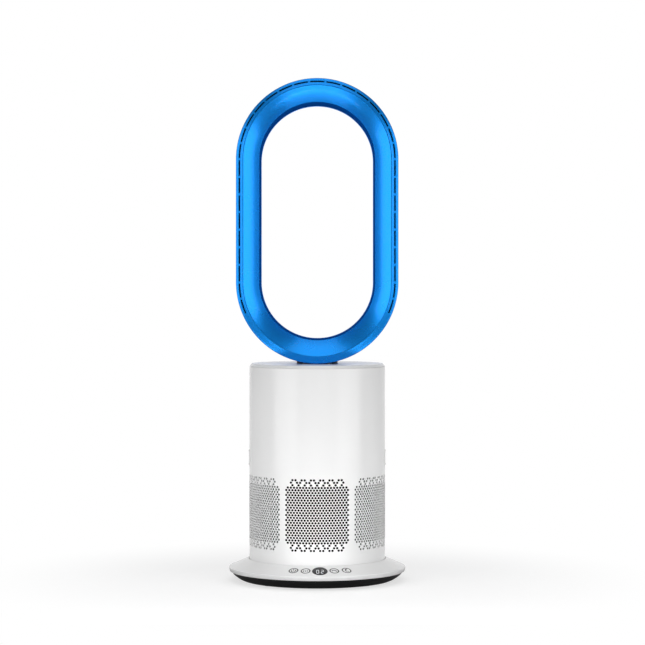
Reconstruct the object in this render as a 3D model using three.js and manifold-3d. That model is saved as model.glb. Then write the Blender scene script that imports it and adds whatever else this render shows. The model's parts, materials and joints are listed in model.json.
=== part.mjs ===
// A bladeless floor fan: a tall hollow loop on a perforated column that turns on a round base.
// Millimetres, +Z up, the front towards -Y, and the origin on the floor under the column's axis.
import * as THREE from "three";
import { mergeVertices } from "three/addons/utils/BufferGeometryUtils.js";
import Module from "manifold-3d";

// ---------- shared ----------
const GAP = 0.3; // between pieces that touch
const RUN = 0.4; // between a piece that turns or slides and what guides it
const WALL = 3; // moulded shells of the base and the column
const SIDES = 36; // facets round the large turned pieces that show
const INNER_SIDES = 24; // facets round what they hide
const FEW_SIDES = 16; // facets round the small pieces
const SCREW_SIDES = 8; // facets round a screw or its boss
const THROUGH = 20; // how far a cutting tool runs past what it cuts
const WELD = 1e-4; // vertices nearer than this are one
const rad = THREE.MathUtils.degToRad;

// ---------- base ----------
const FOOT_R = 9;
const FOOT_HIGH = 4.2;
const FOOT_RING_IN = 21; // from the plate's edge
const FOOT_COUNT = 4;
const FOOT_SIDES = 12;
const PLATE_LAP = 1; // how far the plate laps over the skirt's ledge
const PLATE_THICK = 2.5;
const SKIRT_IN = 5; // how far the skirt stands in from the rim of the white shell
const SKIRT_BOTTOM = 1.5;
const SKIRT_TOP = 18.3;
const SKIRT_CURVE = 16.2; // from the skirt's wall in to where it turns flat under the base
const SKIRT_LEDGE = 7; // how far it runs in under the plate
const FLANGE_RUN = 32.5; // the flange's breadth, seen from above
const LIP_ROUND = 3.7; // how far the rim rounds out past the flange
const LIP_SHOULDER = 1.6; // height of each rounded corner of the rim
const LIP_WIDEST = 5; // from the rim's low edge up to its widest ring
const LIP_TUCK = 0.7; // how far the rim's low edge draws in again
const FLANGE_SLOPE = 0.4366; // fall of the flange per millimetre outwards
const FLANGE_IN_Z = 41.8;
const DECK_TOP = 33;
const SCREW_RING_IN = 47; // from the plate's edge
const SCREW_COUNT = 4;
const SCREW_R = 1.9;
const SCREW_HEAD_R = 4;
const SCREW_HEAD_HIGH = 2;
const SCREW_LONG = 18;
const BOSS_R = 6;
const BALLAST_IN = 7; // from the plate's edge
const BALLAST_WIDE = 22;
const BALLAST_HIGH = 8;

// ---------- turning joint ----------
const POST_R = 16;
const POST_BORE_R = 11;
const POST_FOOT_R = 26;
const POST_FOOT_HIGH = 3;
const SLIDE_RING_R = 106;
const SLIDE_RING_WIDE = 6;
const SLIDE_RING_HIGH = 6.4;
const TABLE_RIM_HIGH = 12;
const TABLE_HUB_R = 22;
const TABLE_HUB_HIGH = 14;
const RETAINER_HIGH = 3.5;
const GEAR_MODULE = 2;
const SECTOR_TEETH = 72; // on the full circle, of which the sector keeps SECTOR_KEPT
const SECTOR_KEPT = 22;
const SECTOR_WEB = 14;
const PINION_TEETH = 12;
const GEAR_HIGH = 4.6;
const GEAR_PLAY = 0.35; // taken off each flank
const MOTOR_SHAFT_R = 3;
const TURN_MOTOR_R = 25;

// ---------- controls ----------
const KEY_RING_OUT = 16.5; // from the flange's inner edge out to the middles of the keys
const PLUG_SIDES = 20; // facets round a key or the display
const KEY_R = 9.5;
const KEY_TRAVEL = 0.6;
const KEY_LIP = 1.5;
const KEY_LIP_HIGH = 2;
const KEYS = { power: -17.1, breeze: -8.2, swing: 12.4, timer: 21.6 }; // degrees round from the front
const DISPLAY_AT = 2;
const DISPLAY_R = 14.25;
const WINDOW_THICK = 3;
const MODULE_WIDE = 22;
const MODULE_DEEP = 13;
const BOARD_THICK = 1.6;
const BOARD_WIDE = 19;
const BOARD_DROP = 9.2; // from the flange's underside at the board's outer edge
const BOARD_FROM = -29;
const BOARD_TO = 34;
const SWITCH_WIDE = 6;
const SWITCH_HIGH = 4;
const BOARD_POST_R = 3;
const BOARD_POST_IN = 1.5; // degrees in from the board's ends
const INLET_R = 4.5;
const INLET_BORE_R = 2.9;
const INLET_PIN_R = 0.9;
const INLET_LONG = 11;
const INLET_DEPTH = 9;
const INLET_Z = 12.8;

// ---------- column ----------
const BODY_R = 128.8;
const COLUMN_GAP = 2.2; // between the column and the base that it turns in
const BODY_BOTTOM = 38;
const BODY_TOP = 411;
const CAP_CHAMFER_IN = 4.5;
const CAP_CHAMFER_HIGH = 5.6;
const CAP_SKIRT_HIGH = 8;
const FIELDS = 6; // intake fields round the column
const FIELD_HALF = 57;
const FIELD_LOW = 69.2;
const FIELD_HIGH = 199.1;
const FIELD_CORNER = 14; // the outermost slots are this much shorter at each end
const SLOT_COLUMNS = 7;
const SLOT_WIDE = 4;
const LEDGE_TOP = 209.7;
const LEDGE_HIGH = 3.7;
const LEDGE_DEEP = 4.3;

// ---------- release buttons and their levers ----------
const BUTTON_Z = 232.6;
const BUTTON_HALF_HIGH = 14.25;
const BUTTON_HALF_WIDE = 18;
const BUTTON_ROUND = 6;
const BUTTON_PROUD = 1.4;
const BUTTON_TRAVEL = 3;
const BUTTON_BACK = 10.3; // from the column's face to the button's back
const BUTTON_LIP = 2;
const BUTTON_LIP_THICK = 2.2;
const LEVER_THICK = 5;
const LEVER_PAD = 1.2; // how far its foot stands out to the button
const LEVER_PAD_HALF = 8;
const LEVER_HALF_WIDE = 5;
const LEVER_PIVOT_Z = 320;
const LEVER_PIN_R = 2.5;
const LEVER_BOSS_R = 5.5;
const HOOK_LOW = 392;
const HOOK_HIGH = 6;
const HOOK_BITE = 1.4; // how far the hook reaches into the neck's groove
const EAR_THICK = 4;
const EAR_HALF_HIGH = 8;

// ---------- blower ----------
const MOUNT_THICK = 6;
const DUCT_WALL = 2.5;
const INLET_MOUTH_R = 72;
const EYE_R = 62; // the impeller's eye
const BLOWER_R = 88;
const BLOWER_LOW = 114;
const EYE_Z = 128;
const BLOWER_WIDE_Z = 180;
const BLOWER_TOP = 262;
const FLANGE_WIDE = 11.5;
const HUB_NOSE_R = 20;
const HUB_TAIL_R = 68;
const IMPELLER_HIGH = 48;
const IMPELLER_RIM = 3;
const TIP_CLEARANCE = 1.5;
const BLADES = 9;
const BLADE_THICK = 2;
const BLADE_TWIST = 55;
const VANES = 9;
const VANE_TWIST = -35;
const DIFFUSER_LOW = 196;
const DIFFUSER_HIGH = 48;
const MOTOR_R = 44.6;
const MOTOR_LOW = 184;
const MOTOR_HIGH = 66;
const STATOR_LOW = 196;
const STATOR_HIGH = 36;
const ROTOR_R = 20;
const ROTOR_HIGH = 40;
const SHAFT_R = 4;
const SHAFT_LOW = 116;
const BEARING_R = 11.1;
const BEARING_HIGH = 6.5;
const NUT_R = 9;
const NUT_HIGH = 8;
const CAP_DOME_HIGH = 34;

// ---------- loop ----------
const LOOP_HALF_WIDE = 152.5;
const LOOP_STRAIGHT = 115.6; // half the length of the straight sides
const LOOP_DEEP = 120;
const LOOP_ABOVE_BODY = 0.9;
const LOOP_WALL = 2.5;
const LOOP_EDGE = 2.5;
const LOOP_BACK_ROUND = 10;
const ARC_STEPS = 16; // facets in each half circle
const BAND_WIDE = 13.7; // the flat front band
const THROAT_IN = 43.4; // from the outer edge to the opening, at the front of the throat
const BEVEL_DEEP = 22;
const BACK_IN = 44.7; // the same at the back
const AIR_SLIT = 2.5;
const BACK_LIP = 10.5;
const DASH_IN = 6.7; // the slots' centre line, from the outer edge
const DASH_WIDE = 2.2;
const DASH_GAP = 4.2;
const DASHES_ROUND = 15;
const DASHES_STRAIGHT = 7;
const DASHES_BELOW = 2;
const SEAL_THICK = 3;
const SEAL_WIDE = 10;
const NECK_R = 38.9;
const NECK_WALL = 5;
const NECK_DEEP = 37; // how far the neck plugs in below the column's top
const NECK_GROOVE = 2;
const COLLAR_WALL = 3;
const RING_SEAL_LOW = 380;
const RING_SEAL_HIGH = 4;

// ---------- worked out ----------
const flangeInR = BODY_R + COLUMN_GAP;
const flangeOutR = flangeInR + FLANGE_RUN;
const lipR = flangeOutR + LIP_ROUND; // the widest ring of the white shell
const keyRingR = flangeInR + KEY_RING_OUT;
const skirtR = lipR - SKIRT_IN;
const toeR = skirtR - SKIRT_CURVE;
const plateR = toeR + PLATE_LAP;
const footRingR = plateR - FOOT_RING_IN;
const screwRingR = plateR - SCREW_RING_IN;
const ballastOutR = plateR - BALLAST_IN;
const plateLow = FOOT_HIGH + GAP;
const plateTop = plateLow + PLATE_THICK;
const deckLow = DECK_TOP - WALL;
const flangeDrop = WALL * Math.hypot(1, FLANGE_SLOPE);
const flangeZ = (r) => FLANGE_IN_Z - FLANGE_SLOPE * (r - flangeInR);
const flangeUnder = (r) => flangeZ(r) - flangeDrop;
const lipLow = SKIRT_TOP + GAP;
const tableLow = DECK_TOP + GAP + SLIDE_RING_HIGH + GAP;
const tableTop = tableLow + WALL;
const bodyInR = BODY_R - WALL;
// What fits inside the facets of the column's shell.
const insideR = bodyInR * Math.cos(Math.PI / SIDES) - RUN;
const gearLow = tableLow - GAP - GEAR_HIGH;
const pinionY = (GEAR_MODULE * (SECTOR_TEETH + PINION_TEETH)) / 2;
const boardTop = flangeUnder(keyRingR + BOARD_WIDE / 2) - BOARD_DROP;
const switchTop = boardTop + SWITCH_HIGH;
const keyLow = switchTop + GAP + KEY_TRAVEL;
const capLow = BODY_TOP - CAP_CHAMFER_HIGH;
const shellTop = capLow - GAP;
const neckLow = BODY_TOP - NECK_DEEP;
const collarR = NECK_R + 2 * GAP;
const collarOutR = collarR + COLLAR_WALL;
const ductTop = neckLow - 1 - GAP;
const loopLowArcZ = BODY_TOP + LOOP_ABOVE_BODY + LOOP_HALF_WIDE;
const loopZ = loopLowArcZ + LOOP_STRAIGHT;
const frontY = -LOOP_DEEP / 2;
const backY = LOOP_DEEP / 2;
const bevelAngle = Math.atan2(BEVEL_DEEP, THROAT_IN - BAND_WIDE);
const buttonBackX = BODY_R - BUTTON_BACK;
const leverOutX = buttonBackX - GAP;
const leverInX = leverOutX - LEVER_THICK;
const leverX = (leverOutX + leverInX) / 2;
// The rise of the hook when its button is pressed.
const leverLift = (BUTTON_TRAVEL * (leverX - NECK_R)) / (LEVER_PIVOT_Z - BUTTON_Z);
const earHalf = LEVER_HALF_WIDE + 1 + EAR_THICK;
const mountLow = LEDGE_TOP + GAP;
const mountTop = mountLow + MOUNT_THICK;
const endPlateLow = STATOR_LOW + STATOR_HIGH + 9;
const motorTop = MOTOR_LOW + MOTOR_HIGH;

// ---------- geometry helpers ----------
const wasm = await Module();
wasm.setup();

function solidOf(geometry) {
  const bare = geometry.clone();
  bare.deleteAttribute("normal");
  bare.deleteAttribute("uv");
  const merged = mergeVertices(bare, WELD);
  return new wasm.Manifold(
    new wasm.Mesh({
      numProp: 3,
      vertProperties: merged.attributes.position.array,
      triVerts: new Uint32Array(merged.index.array),
    }),
  );
}

function geometryOf(solid) {
  const mesh = solid.getMesh();
  const geometry = new THREE.BufferGeometry();
  geometry.setAttribute("position", new THREE.BufferAttribute(mesh.vertProperties, 3));
  geometry.setIndex(new THREE.BufferAttribute(mesh.triVerts, 1));
  geometry.computeVertexNormals();
  return geometry;
}

const join = (...parts) => geometryOf(parts.map(solidOf).reduce((a, b) => a.add(b)));
const cut = (body, ...tools) => geometryOf(tools.map(solidOf).reduce((a, b) => a.subtract(b), solidOf(body)));
const common = (a, b) => geometryOf(solidOf(a).intersect(solidOf(b)));

// A profile of [radius, height] points, anticlockwise with the axis on its left, turned about Z.
function revolve(profile, sides = SIDES) {
  const points = profile.map(([r, z]) => new THREE.Vector2(r, z));
  if (profile[0][0] > 0) points.push(points[0].clone());
  return new THREE.LatheGeometry(points, sides).rotateX(Math.PI / 2);
}

const tube = (inR, outR, low, high, sides = SIDES) =>
  revolve([[inR, low], [outR, low], [outR, high], [inR, high]], sides);

const rod = (r, low, high, sides = FEW_SIDES) => revolve([[0, low], [r, low], [r, high], [0, high]], sides);

function block(x0, x1, y0, y1, z0, z1) {
  const box = new THREE.BoxGeometry(x1 - x0, y1 - y0, z1 - z0);
  return box.translate((x0 + x1) / 2, (y0 + y1) / 2, (z0 + z1) / 2);
}

function extrude(points, low, high) {
  const shape = new THREE.Shape(points.map(([x, y]) => new THREE.Vector2(x, y)));
  const made = new THREE.ExtrudeGeometry(shape, { depth: high - low, bevelEnabled: false });
  return made.translate(0, 0, low);
}

// An outline of [x, z] points, as deep as halfWide each way along Y.
function extrudeAlongY(points, halfWide) {
  return extrude(points, -halfWide, halfWide).rotateX(Math.PI / 2);
}

function circlePoints(cx, cy, r, sides) {
  return Array.from({ length: sides }, (_, i) => {
    const a = (2 * Math.PI * i) / sides;
    return [cx + r * Math.cos(a), cy + r * Math.sin(a)];
  });
}

// Corners of a quarter circle or less, from one angle to another, in degrees.
function arcPoints(cx, cy, r, from, to, steps) {
  return Array.from({ length: steps + 1 }, (_, i) => {
    const a = rad(from + ((to - from) * i) / steps);
    return [cx + r * Math.cos(a), cy + r * Math.sin(a)];
  });
}

function roundedRectangle(halfWide, halfHigh, r, steps = 3) {
  const [x, y] = [halfWide - r, halfHigh - r];
  return [
    ...arcPoints(x, -y, r, -90, 0, steps),
    ...arcPoints(x, y, r, 0, 90, steps),
    ...arcPoints(-x, y, r, 90, 180, steps),
    ...arcPoints(-x, -y, r, 180, 270, steps),
  ];
}

const onCircle = (r, degrees) => [r * Math.cos(rad(degrees)), r * Math.sin(rad(degrees))];

const spread = (count, first = 0) => Array.from({ length: count }, (_, i) => first + (360 * i) / count);

// A grid of rows of points, each row a closed ring, the last row joined to the first.
function torusOf(rows) {
  const ring = rows[0].length;
  const index = [];
  rows.forEach((_, i) => {
    const next = (i + 1) % rows.length;
    for (let j = 0; j < ring; j++) {
      const k = (j + 1) % ring;
      index.push(i * ring + j, next * ring + j, next * ring + k);
      index.push(i * ring + j, next * ring + k, i * ring + k);
    }
  });
  const geometry = new THREE.BufferGeometry();
  geometry.setAttribute("position", new THREE.Float32BufferAttribute(rows.flat(2), 3));
  geometry.setIndex(index);
  return geometry;
}

// A bar of quadrilateral sections with its two ends closed.
function barOf(sections) {
  const index = [];
  for (let i = 0; i + 1 < sections.length; i++) {
    for (let j = 0; j < 4; j++) {
      const k = (j + 1) % 4;
      const [low, high] = [4 * i, 4 * i + 4];
      // opposite sides share the way that they are split, so that a twisted bar keeps its thickness
      if (j < 2) index.push(low + j, low + k, high + k, low + j, high + k, high + j);
      else index.push(low + j, low + k, high + j, low + k, high + k, high + j);
    }
  }
  const end = 4 * (sections.length - 1);
  index.push(0, 2, 1, 0, 3, 2);
  index.push(end, end + 1, end + 2, end, end + 2, end + 3);
  const geometry = new THREE.BufferGeometry();
  geometry.setAttribute("position", new THREE.Float32BufferAttribute(sections.flat(2), 3));
  geometry.setIndex(index);
  return geometry;
}

// ---------- base pieces ----------
// A plug under the flange: an upright elliptical bar that looks round on the sloping flange.
function plug(degrees, r, floorAt, roofAt) {
  const slant = Math.cos(Math.atan(FLANGE_SLOPE));
  const outline = circlePoints(0, 0, r, PLUG_SIDES).map(([across, out]) => [across, out * slant - keyRingR]);
  const made = extrude(outline, 0, 1);
  const position = made.attributes.position;
  for (let i = 0; i < position.count; i++) {
    const reach = Math.hypot(position.getX(i), position.getY(i));
    position.setZ(i, position.getZ(i) > 0.5 ? roofAt(reach) : floorAt(reach));
  }
  return made.rotateZ(rad(degrees));
}

const plugHole = (degrees, r) =>
  plug(degrees, r, () => deckLow - THROUGH, (reach) => flangeZ(reach) + THROUGH);

function baseShell() {
  const inner = lipR - 2 * WALL;
  const body = revolve([
    [POST_BORE_R, deckLow],
    [flangeInR + WALL, deckLow],
    [flangeInR + WALL, flangeUnder(flangeInR + WALL)],
    [inner, flangeUnder(inner)],
    [inner, lipLow],
    [lipR - WALL, lipLow],
    [lipR - LIP_TUCK, lipLow + LIP_SHOULDER],
    [lipR, lipLow + LIP_WIDEST],
    [lipR - 1, flangeZ(flangeOutR) - LIP_SHOULDER],
    [flangeOutR, flangeZ(flangeOutR)],
    [flangeInR, FLANGE_IN_Z],
    [flangeInR, DECK_TOP],
    [POST_BORE_R, DECK_TOP],
  ]);
  const bosses = spread(SCREW_COUNT, 45).map((a) =>
    rod(BOSS_R, plateTop + GAP, deckLow + 1, SCREW_SIDES).translate(...onCircle(screwRingR, a), 0),
  );
  const posts = [BOARD_FROM, BOARD_TO].map((a) =>
    rod(BOARD_POST_R, boardTop + GAP, flangeUnder(keyRingR) + 1, SCREW_SIDES).translate(
      ...onCircle(keyRingR, a - 90 + (a < 0 ? BOARD_POST_IN : -BOARD_POST_IN)),
      0,
    ),
  );
  const screwBores = spread(SCREW_COUNT, 45).map((a) =>
    rod(SCREW_R + GAP, plateTop, plateLow + SCREW_LONG + 1, SCREW_SIDES)
      .translate(...onCircle(screwRingR, a), 0),
  );
  const keyHoles = Object.values(KEYS).map((a) => plugHole(a, KEY_R + RUN));
  const pinionR = (GEAR_MODULE * (PINION_TEETH + 2)) / 2 + 1.5;
  const pinionHole = rod(pinionR, deckLow - 1, DECK_TOP + 1).translate(0, pinionY, 0);
  const windowHole = plugHole(DISPLAY_AT, DISPLAY_R + GAP);
  return cut(join(body, ...bosses, ...posts), ...screwBores, ...keyHoles, windowHole, pinionHole);
}

function baseSkirt() {
  const ledge = toeR - SKIRT_LEDGE;
  const high = SKIRT_BOTTOM + WALL - GAP;
  const body = revolve([
    [ledge, SKIRT_BOTTOM],
    [toeR, SKIRT_BOTTOM],
    [toeR + 4.5, SKIRT_BOTTOM + 0.7],
    [skirtR - 5.6, SKIRT_BOTTOM + 3.7],
    [skirtR - 1.7, SKIRT_BOTTOM + 7.3],
    [skirtR, SKIRT_BOTTOM + 11],
    [skirtR, SKIRT_TOP],
    [skirtR - WALL, SKIRT_TOP],
    [skirtR - WALL, SKIRT_BOTTOM + 11.2],
    [skirtR - WALL - 5, SKIRT_BOTTOM + 5.8],
    [toeR + 3.5, high],
    [ledge, high],
  ]);
  const inletHole = rod(INLET_R + GAP, 0, THROUGH + INLET_LONG, FEW_SIDES)
    .rotateX(-Math.PI / 2)
    .translate(0, skirtR - INLET_LONG, INLET_Z);
  return cut(body, inletHole);
}

function basePlate() {
  const holes = spread(SCREW_COUNT, 45).map((a) =>
    rod(SCREW_R + GAP, plateLow - 1, plateTop + 1, SCREW_SIDES).translate(...onCircle(screwRingR, a), 0),
  );
  return cut(rod(plateR, plateLow, plateTop, SIDES), ...holes);
}

function ballastRing() {
  const low = plateTop + GAP;
  return tube(ballastOutR - BALLAST_WIDE, ballastOutR, low, low + BALLAST_HIGH, INNER_SIDES);
}

const rubberFoot = () =>
  revolve([[0, 0], [FOOT_R - 1, 0], [FOOT_R, 1], [FOOT_R, FOOT_HIGH], [0, FOOT_HIGH]], FOOT_SIDES);

function baseScrew() {
  const headTop = plateLow - GAP;
  return revolve(
    [
      [0, headTop - SCREW_HEAD_HIGH],
      [SCREW_HEAD_R, headTop - SCREW_HEAD_HIGH],
      [SCREW_HEAD_R, headTop],
      [SCREW_R, headTop],
      [SCREW_R, headTop + SCREW_LONG],
      [0, headTop + SCREW_LONG],
    ],
    SCREW_SIDES,
  );
}

// ---------- turning joint ----------
function pivotPost() {
  const low = DECK_TOP + GAP;
  const top = tableLow + TABLE_HUB_HIGH + GAP + RETAINER_HIGH + 2;
  return revolve(
    [
      [POST_BORE_R, low],
      [POST_FOOT_R, low],
      [POST_FOOT_R, low + POST_FOOT_HIGH],
      [POST_R, low + POST_FOOT_HIGH],
      [POST_R, top],
      [POST_BORE_R, top],
    ],
    FEW_SIDES,
  );
}

function turntable() {
  const hubTop = tableLow + TABLE_HUB_HIGH;
  const bore = POST_R + RUN;
  return revolve([
    [bore, tableLow],
    [insideR, tableLow],
    [insideR, tableLow + TABLE_RIM_HIGH],
    [insideR - WALL, tableLow + TABLE_RIM_HIGH],
    [insideR - WALL, tableTop],
    [TABLE_HUB_R, tableTop],
    [TABLE_HUB_R, hubTop],
    [bore, hubTop],
  ]);
}

function retainingRing() {
  const low = tableLow + TABLE_HUB_HIGH + GAP;
  return tube(POST_R + GAP, TABLE_HUB_R, low, low + RETAINER_HIGH, FEW_SIDES);
}

function slideRing() {
  const low = DECK_TOP + GAP;
  return tube(SLIDE_RING_R, SLIDE_RING_R + SLIDE_RING_WIDE, low, low + SLIDE_RING_HIGH, INNER_SIDES);
}

// The corners of one tooth that points along an angle, root to tip to root.
function tooth(teeth, angle) {
  const pitchR = (GEAR_MODULE * teeth) / 2;
  const half = (Math.PI * GEAR_MODULE) / 4 - GEAR_PLAY;
  const flank = Math.tan(rad(20));
  const corner = (r, side) => {
    const across = half - (r - pitchR) * flank;
    const a = rad(angle) + (side * across) / r;
    return [r * Math.cos(a), r * Math.sin(a)];
  };
  const rootR = pitchR - 1.2 * GEAR_MODULE;
  const tipR = pitchR + 0.9 * GEAR_MODULE;
  return [corner(rootR, -1), corner(tipR, -1), corner(tipR, 1), corner(rootR, 1)];
}

function gearSector() {
  const pitch = 360 / SECTOR_TEETH;
  const first = 90 - (pitch * (SECTOR_KEPT - 1)) / 2;
  const teeth = Array.from({ length: SECTOR_KEPT }, (_, i) => tooth(SECTOR_TEETH, first + i * pitch)).flat();
  const half = (pitch * SECTOR_KEPT) / 2;
  const inR = (GEAR_MODULE * SECTOR_TEETH) / 2 - SECTOR_WEB;
  const back = arcPoints(0, 0, inR, 90 + half, 90 - half, 12);
  return extrude([...teeth, ...back], gearLow, gearLow + GEAR_HIGH);
}

function drivePinion() {
  const teeth = spread(PINION_TEETH, -90).map((a) => tooth(PINION_TEETH, a)).flat();
  const bore = rod(MOTOR_SHAFT_R + GAP, gearLow - 1, gearLow + GEAR_HIGH + 1, 16);
  return cut(extrude(teeth, gearLow, gearLow + GEAR_HIGH), bore).translate(0, pinionY, 0);
}

function oscillationMotor() {
  const low = plateTop + GAP;
  const high = deckLow - GAP;
  const tip = gearLow + GEAR_HIGH;
  return revolve(
    [
      [0, low], [TURN_MOTOR_R, low], [TURN_MOTOR_R, high],
      [MOTOR_SHAFT_R, high], [MOTOR_SHAFT_R, tip], [0, tip],
    ],
    FEW_SIDES,
  ).translate(0, pinionY, 0);
}

// ---------- controls ----------
const functionKey = (degrees) =>
  join(
    plug(degrees, KEY_R, () => keyLow, flangeZ),
    plug(degrees, KEY_R + KEY_LIP, () => keyLow, () => keyLow + KEY_LIP_HIGH),
  );

const displayWindow = () =>
  plug(DISPLAY_AT, DISPLAY_R, (r) => flangeZ(r) - WINDOW_THICK, flangeZ);

function displayModule() {
  const top = flangeZ(keyRingR + MODULE_DEEP / 2) - WINDOW_THICK - GAP;
  const [x, y] = [MODULE_WIDE / 2, MODULE_DEEP / 2];
  return block(-x, x, -keyRingR - y, -keyRingR + y, boardTop + GAP, top - GAP).rotateZ(rad(DISPLAY_AT));
}

function controlBoard() {
  const [inR, outR] = [keyRingR - BOARD_WIDE / 2, keyRingR + BOARD_WIDE / 2];
  const outline = [
    ...arcPoints(0, 0, outR, BOARD_FROM - 90, BOARD_TO - 90, 12),
    ...arcPoints(0, 0, inR, BOARD_TO - 90, BOARD_FROM - 90, 12),
  ];
  const half = SWITCH_WIDE / 2;
  const switches = Object.values(KEYS).map((a) =>
    block(-half, half, -keyRingR - half, -keyRingR + half, boardTop - 1, switchTop).rotateZ(rad(a)),
  );
  return join(extrude(outline, boardTop - BOARD_THICK, boardTop), ...switches);
}

function powerInlet() {
  const floor = INLET_LONG - INLET_DEPTH;
  return revolve(
    [
      [0, 0],
      [INLET_R, 0],
      [INLET_R, INLET_LONG],
      [INLET_BORE_R, INLET_LONG],
      [INLET_BORE_R, floor],
      [INLET_PIN_R, floor],
      [INLET_PIN_R, INLET_LONG - 1],
      [0, INLET_LONG - 1],
    ],
    16,
  )
    .rotateX(-Math.PI / 2)
    .translate(0, skirtR - 1.5 - INLET_LONG, INLET_Z);
}

// ---------- column ----------
// The slots of one intake field, all cut along the field's own direction.
function fieldSlots(degrees) {
  const pitch = (2 * FIELD_HALF) / SLOT_COLUMNS;
  return Array.from({ length: SLOT_COLUMNS }, (_, i) => {
    const x = (i - (SLOT_COLUMNS - 1) / 2) * pitch;
    const outer = i === 0 || i === SLOT_COLUMNS - 1 ? FIELD_CORNER : 0;
    const near = Math.sqrt(BODY_R ** 2 - x ** 2);
    const box = block(
      x - SLOT_WIDE / 2,
      x + SLOT_WIDE / 2,
      -near - THROUGH,
      -near + 4 * WALL,
      FIELD_LOW + outer,
      FIELD_HIGH - outer,
    );
    return box.rotateZ(rad(degrees));
  });
}

const bothSides = (geometry) => [geometry, geometry.clone().rotateZ(Math.PI)];

// A rounded plate that stands square to X, from one x to another, at the buttons' height.
const buttonPlate = (halfWide, halfHigh, x0, x1) =>
  extrude(roundedRectangle(halfHigh, halfWide, BUTTON_ROUND), x0, x1)
    .rotateY(Math.PI / 2)
    .translate(0, 0, BUTTON_Z);

const crossBar = (r, halfLong) =>
  rod(r, -halfLong, halfLong, 12)
    .rotateX(Math.PI / 2)
    .translate(leverX, 0, LEVER_PIVOT_Z);

function bodyShell() {
  const ledgeR = bodyInR - LEDGE_DEEP;
  const body = revolve([
    [bodyInR, BODY_BOTTOM],
    [BODY_R, BODY_BOTTOM],
    [BODY_R, shellTop],
    [bodyInR, shellTop],
    [bodyInR, LEDGE_TOP],
    [ledgeR, LEDGE_TOP],
    [ledgeR, LEDGE_TOP - LEDGE_HIGH],
    [bodyInR, LEDGE_TOP - LEDGE_HIGH - LEDGE_DEEP],
  ]);
  const earIn = leverInX - 4;
  const ears = [-1, 1].flatMap((side) =>
    bothSides(
      block(
        earIn,
        bodyInR + 1,
        side > 0 ? earHalf - EAR_THICK : -earHalf,
        side > 0 ? earHalf : EAR_THICK - earHalf,
        LEVER_PIVOT_Z - EAR_HALF_HIGH,
        LEVER_PIVOT_Z + EAR_HALF_HIGH,
      ),
    ),
  );
  const slots = spread(FIELDS).flatMap(fieldSlots);
  const windows = bothSides(
    buttonPlate(BUTTON_HALF_WIDE + RUN, BUTTON_HALF_HIGH + RUN, bodyInR - LEDGE_DEEP, BODY_R + THROUGH),
  );
  const bores = bothSides(crossBar(LEVER_PIN_R + GAP, earHalf + 1));
  return cut(join(body, ...ears), ...slots, ...windows, ...bores);
}

function topCap() {
  const body = revolve([
    [collarR, neckLow - 1],
    [collarOutR, neckLow - 1],
    [collarOutR, BODY_TOP - WALL],
    [insideR - WALL, BODY_TOP - WALL],
    [insideR - WALL, capLow - CAP_SKIRT_HIGH],
    [insideR, capLow - CAP_SKIRT_HIGH],
    [insideR, capLow],
    [BODY_R, capLow],
    [BODY_R - CAP_CHAMFER_IN, BODY_TOP],
    [collarR, BODY_TOP],
  ]);
  const half = LEVER_HALF_WIDE + 1.5;
  const windowTop = HOOK_LOW + HOOK_HIGH + leverLift + 1.5;
  const window = block(collarR - 4, collarOutR + 2, -half, half, HOOK_LOW - 2, windowTop);
  return cut(body, ...bothSides(window));
}

const releaseButton = () =>
  join(
    common(
      buttonPlate(BUTTON_HALF_WIDE, BUTTON_HALF_HIGH, buttonBackX, BODY_R + 2 * BUTTON_PROUD),
      rod(BODY_R + BUTTON_PROUD, BUTTON_Z - 2 * BUTTON_HALF_HIGH, BUTTON_Z + 2 * BUTTON_HALF_HIGH, SIDES),
    ),
    buttonPlate(
      BUTTON_HALF_WIDE + BUTTON_LIP,
      BUTTON_HALF_HIGH + BUTTON_LIP - RUN,
      buttonBackX,
      buttonBackX + BUTTON_LIP_THICK,
    ),
  );

function releaseLever() {
  const hookX = NECK_R - HOOK_BITE;
  const top = HOOK_LOW + HOOK_HIGH;
  const outline = [
    [leverInX, BUTTON_Z - LEVER_PAD_HALF],
    [leverOutX, BUTTON_Z - LEVER_PAD_HALF],
    [leverOutX, BUTTON_Z + LEVER_PAD_HALF],
    [leverOutX - LEVER_PAD, BUTTON_Z + LEVER_PAD_HALF + LEVER_PAD],
    [leverOutX - LEVER_PAD, top],
    [hookX, top],
    [hookX, HOOK_LOW],
    [leverInX, HOOK_LOW],
  ];
  const arm = extrudeAlongY(outline, LEVER_HALF_WIDE);
  return cut(join(arm, crossBar(LEVER_BOSS_R, LEVER_HALF_WIDE)), crossBar(LEVER_PIN_R + GAP, THROUGH));
}

const leverPin = () => crossBar(LEVER_PIN_R, earHalf);

// ---------- blower ----------
const eyeToRim = (t) => EYE_R + (BLOWER_R - EYE_R) * t; // the housing's bore along the impeller
const hubR = (t) => HUB_NOSE_R + (HUB_TAIL_R - HUB_NOSE_R) * t ** 1.5;

// Curved blades that stand between an inner and an outer surface, each twisted as it rises.
function blades(count, low, high, inner, outer, twist, thick) {
  const steps = 3;
  return spread(count).map((start) =>
    barOf(
      Array.from({ length: steps + 1 }, (_, i) => {
        const t = i / steps;
        const a = rad(start + twist * t);
        const z = low + (high - low) * t;
        const point = (r, side) => [
          r * Math.cos(a) - (side * thick * Math.sin(a)) / 2,
          r * Math.sin(a) + (side * thick * Math.cos(a)) / 2,
          z,
        ];
        return [point(inner(t), -1), point(outer(t), -1), point(outer(t), 1), point(inner(t), 1)];
      }),
    ),
  );
}

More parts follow.
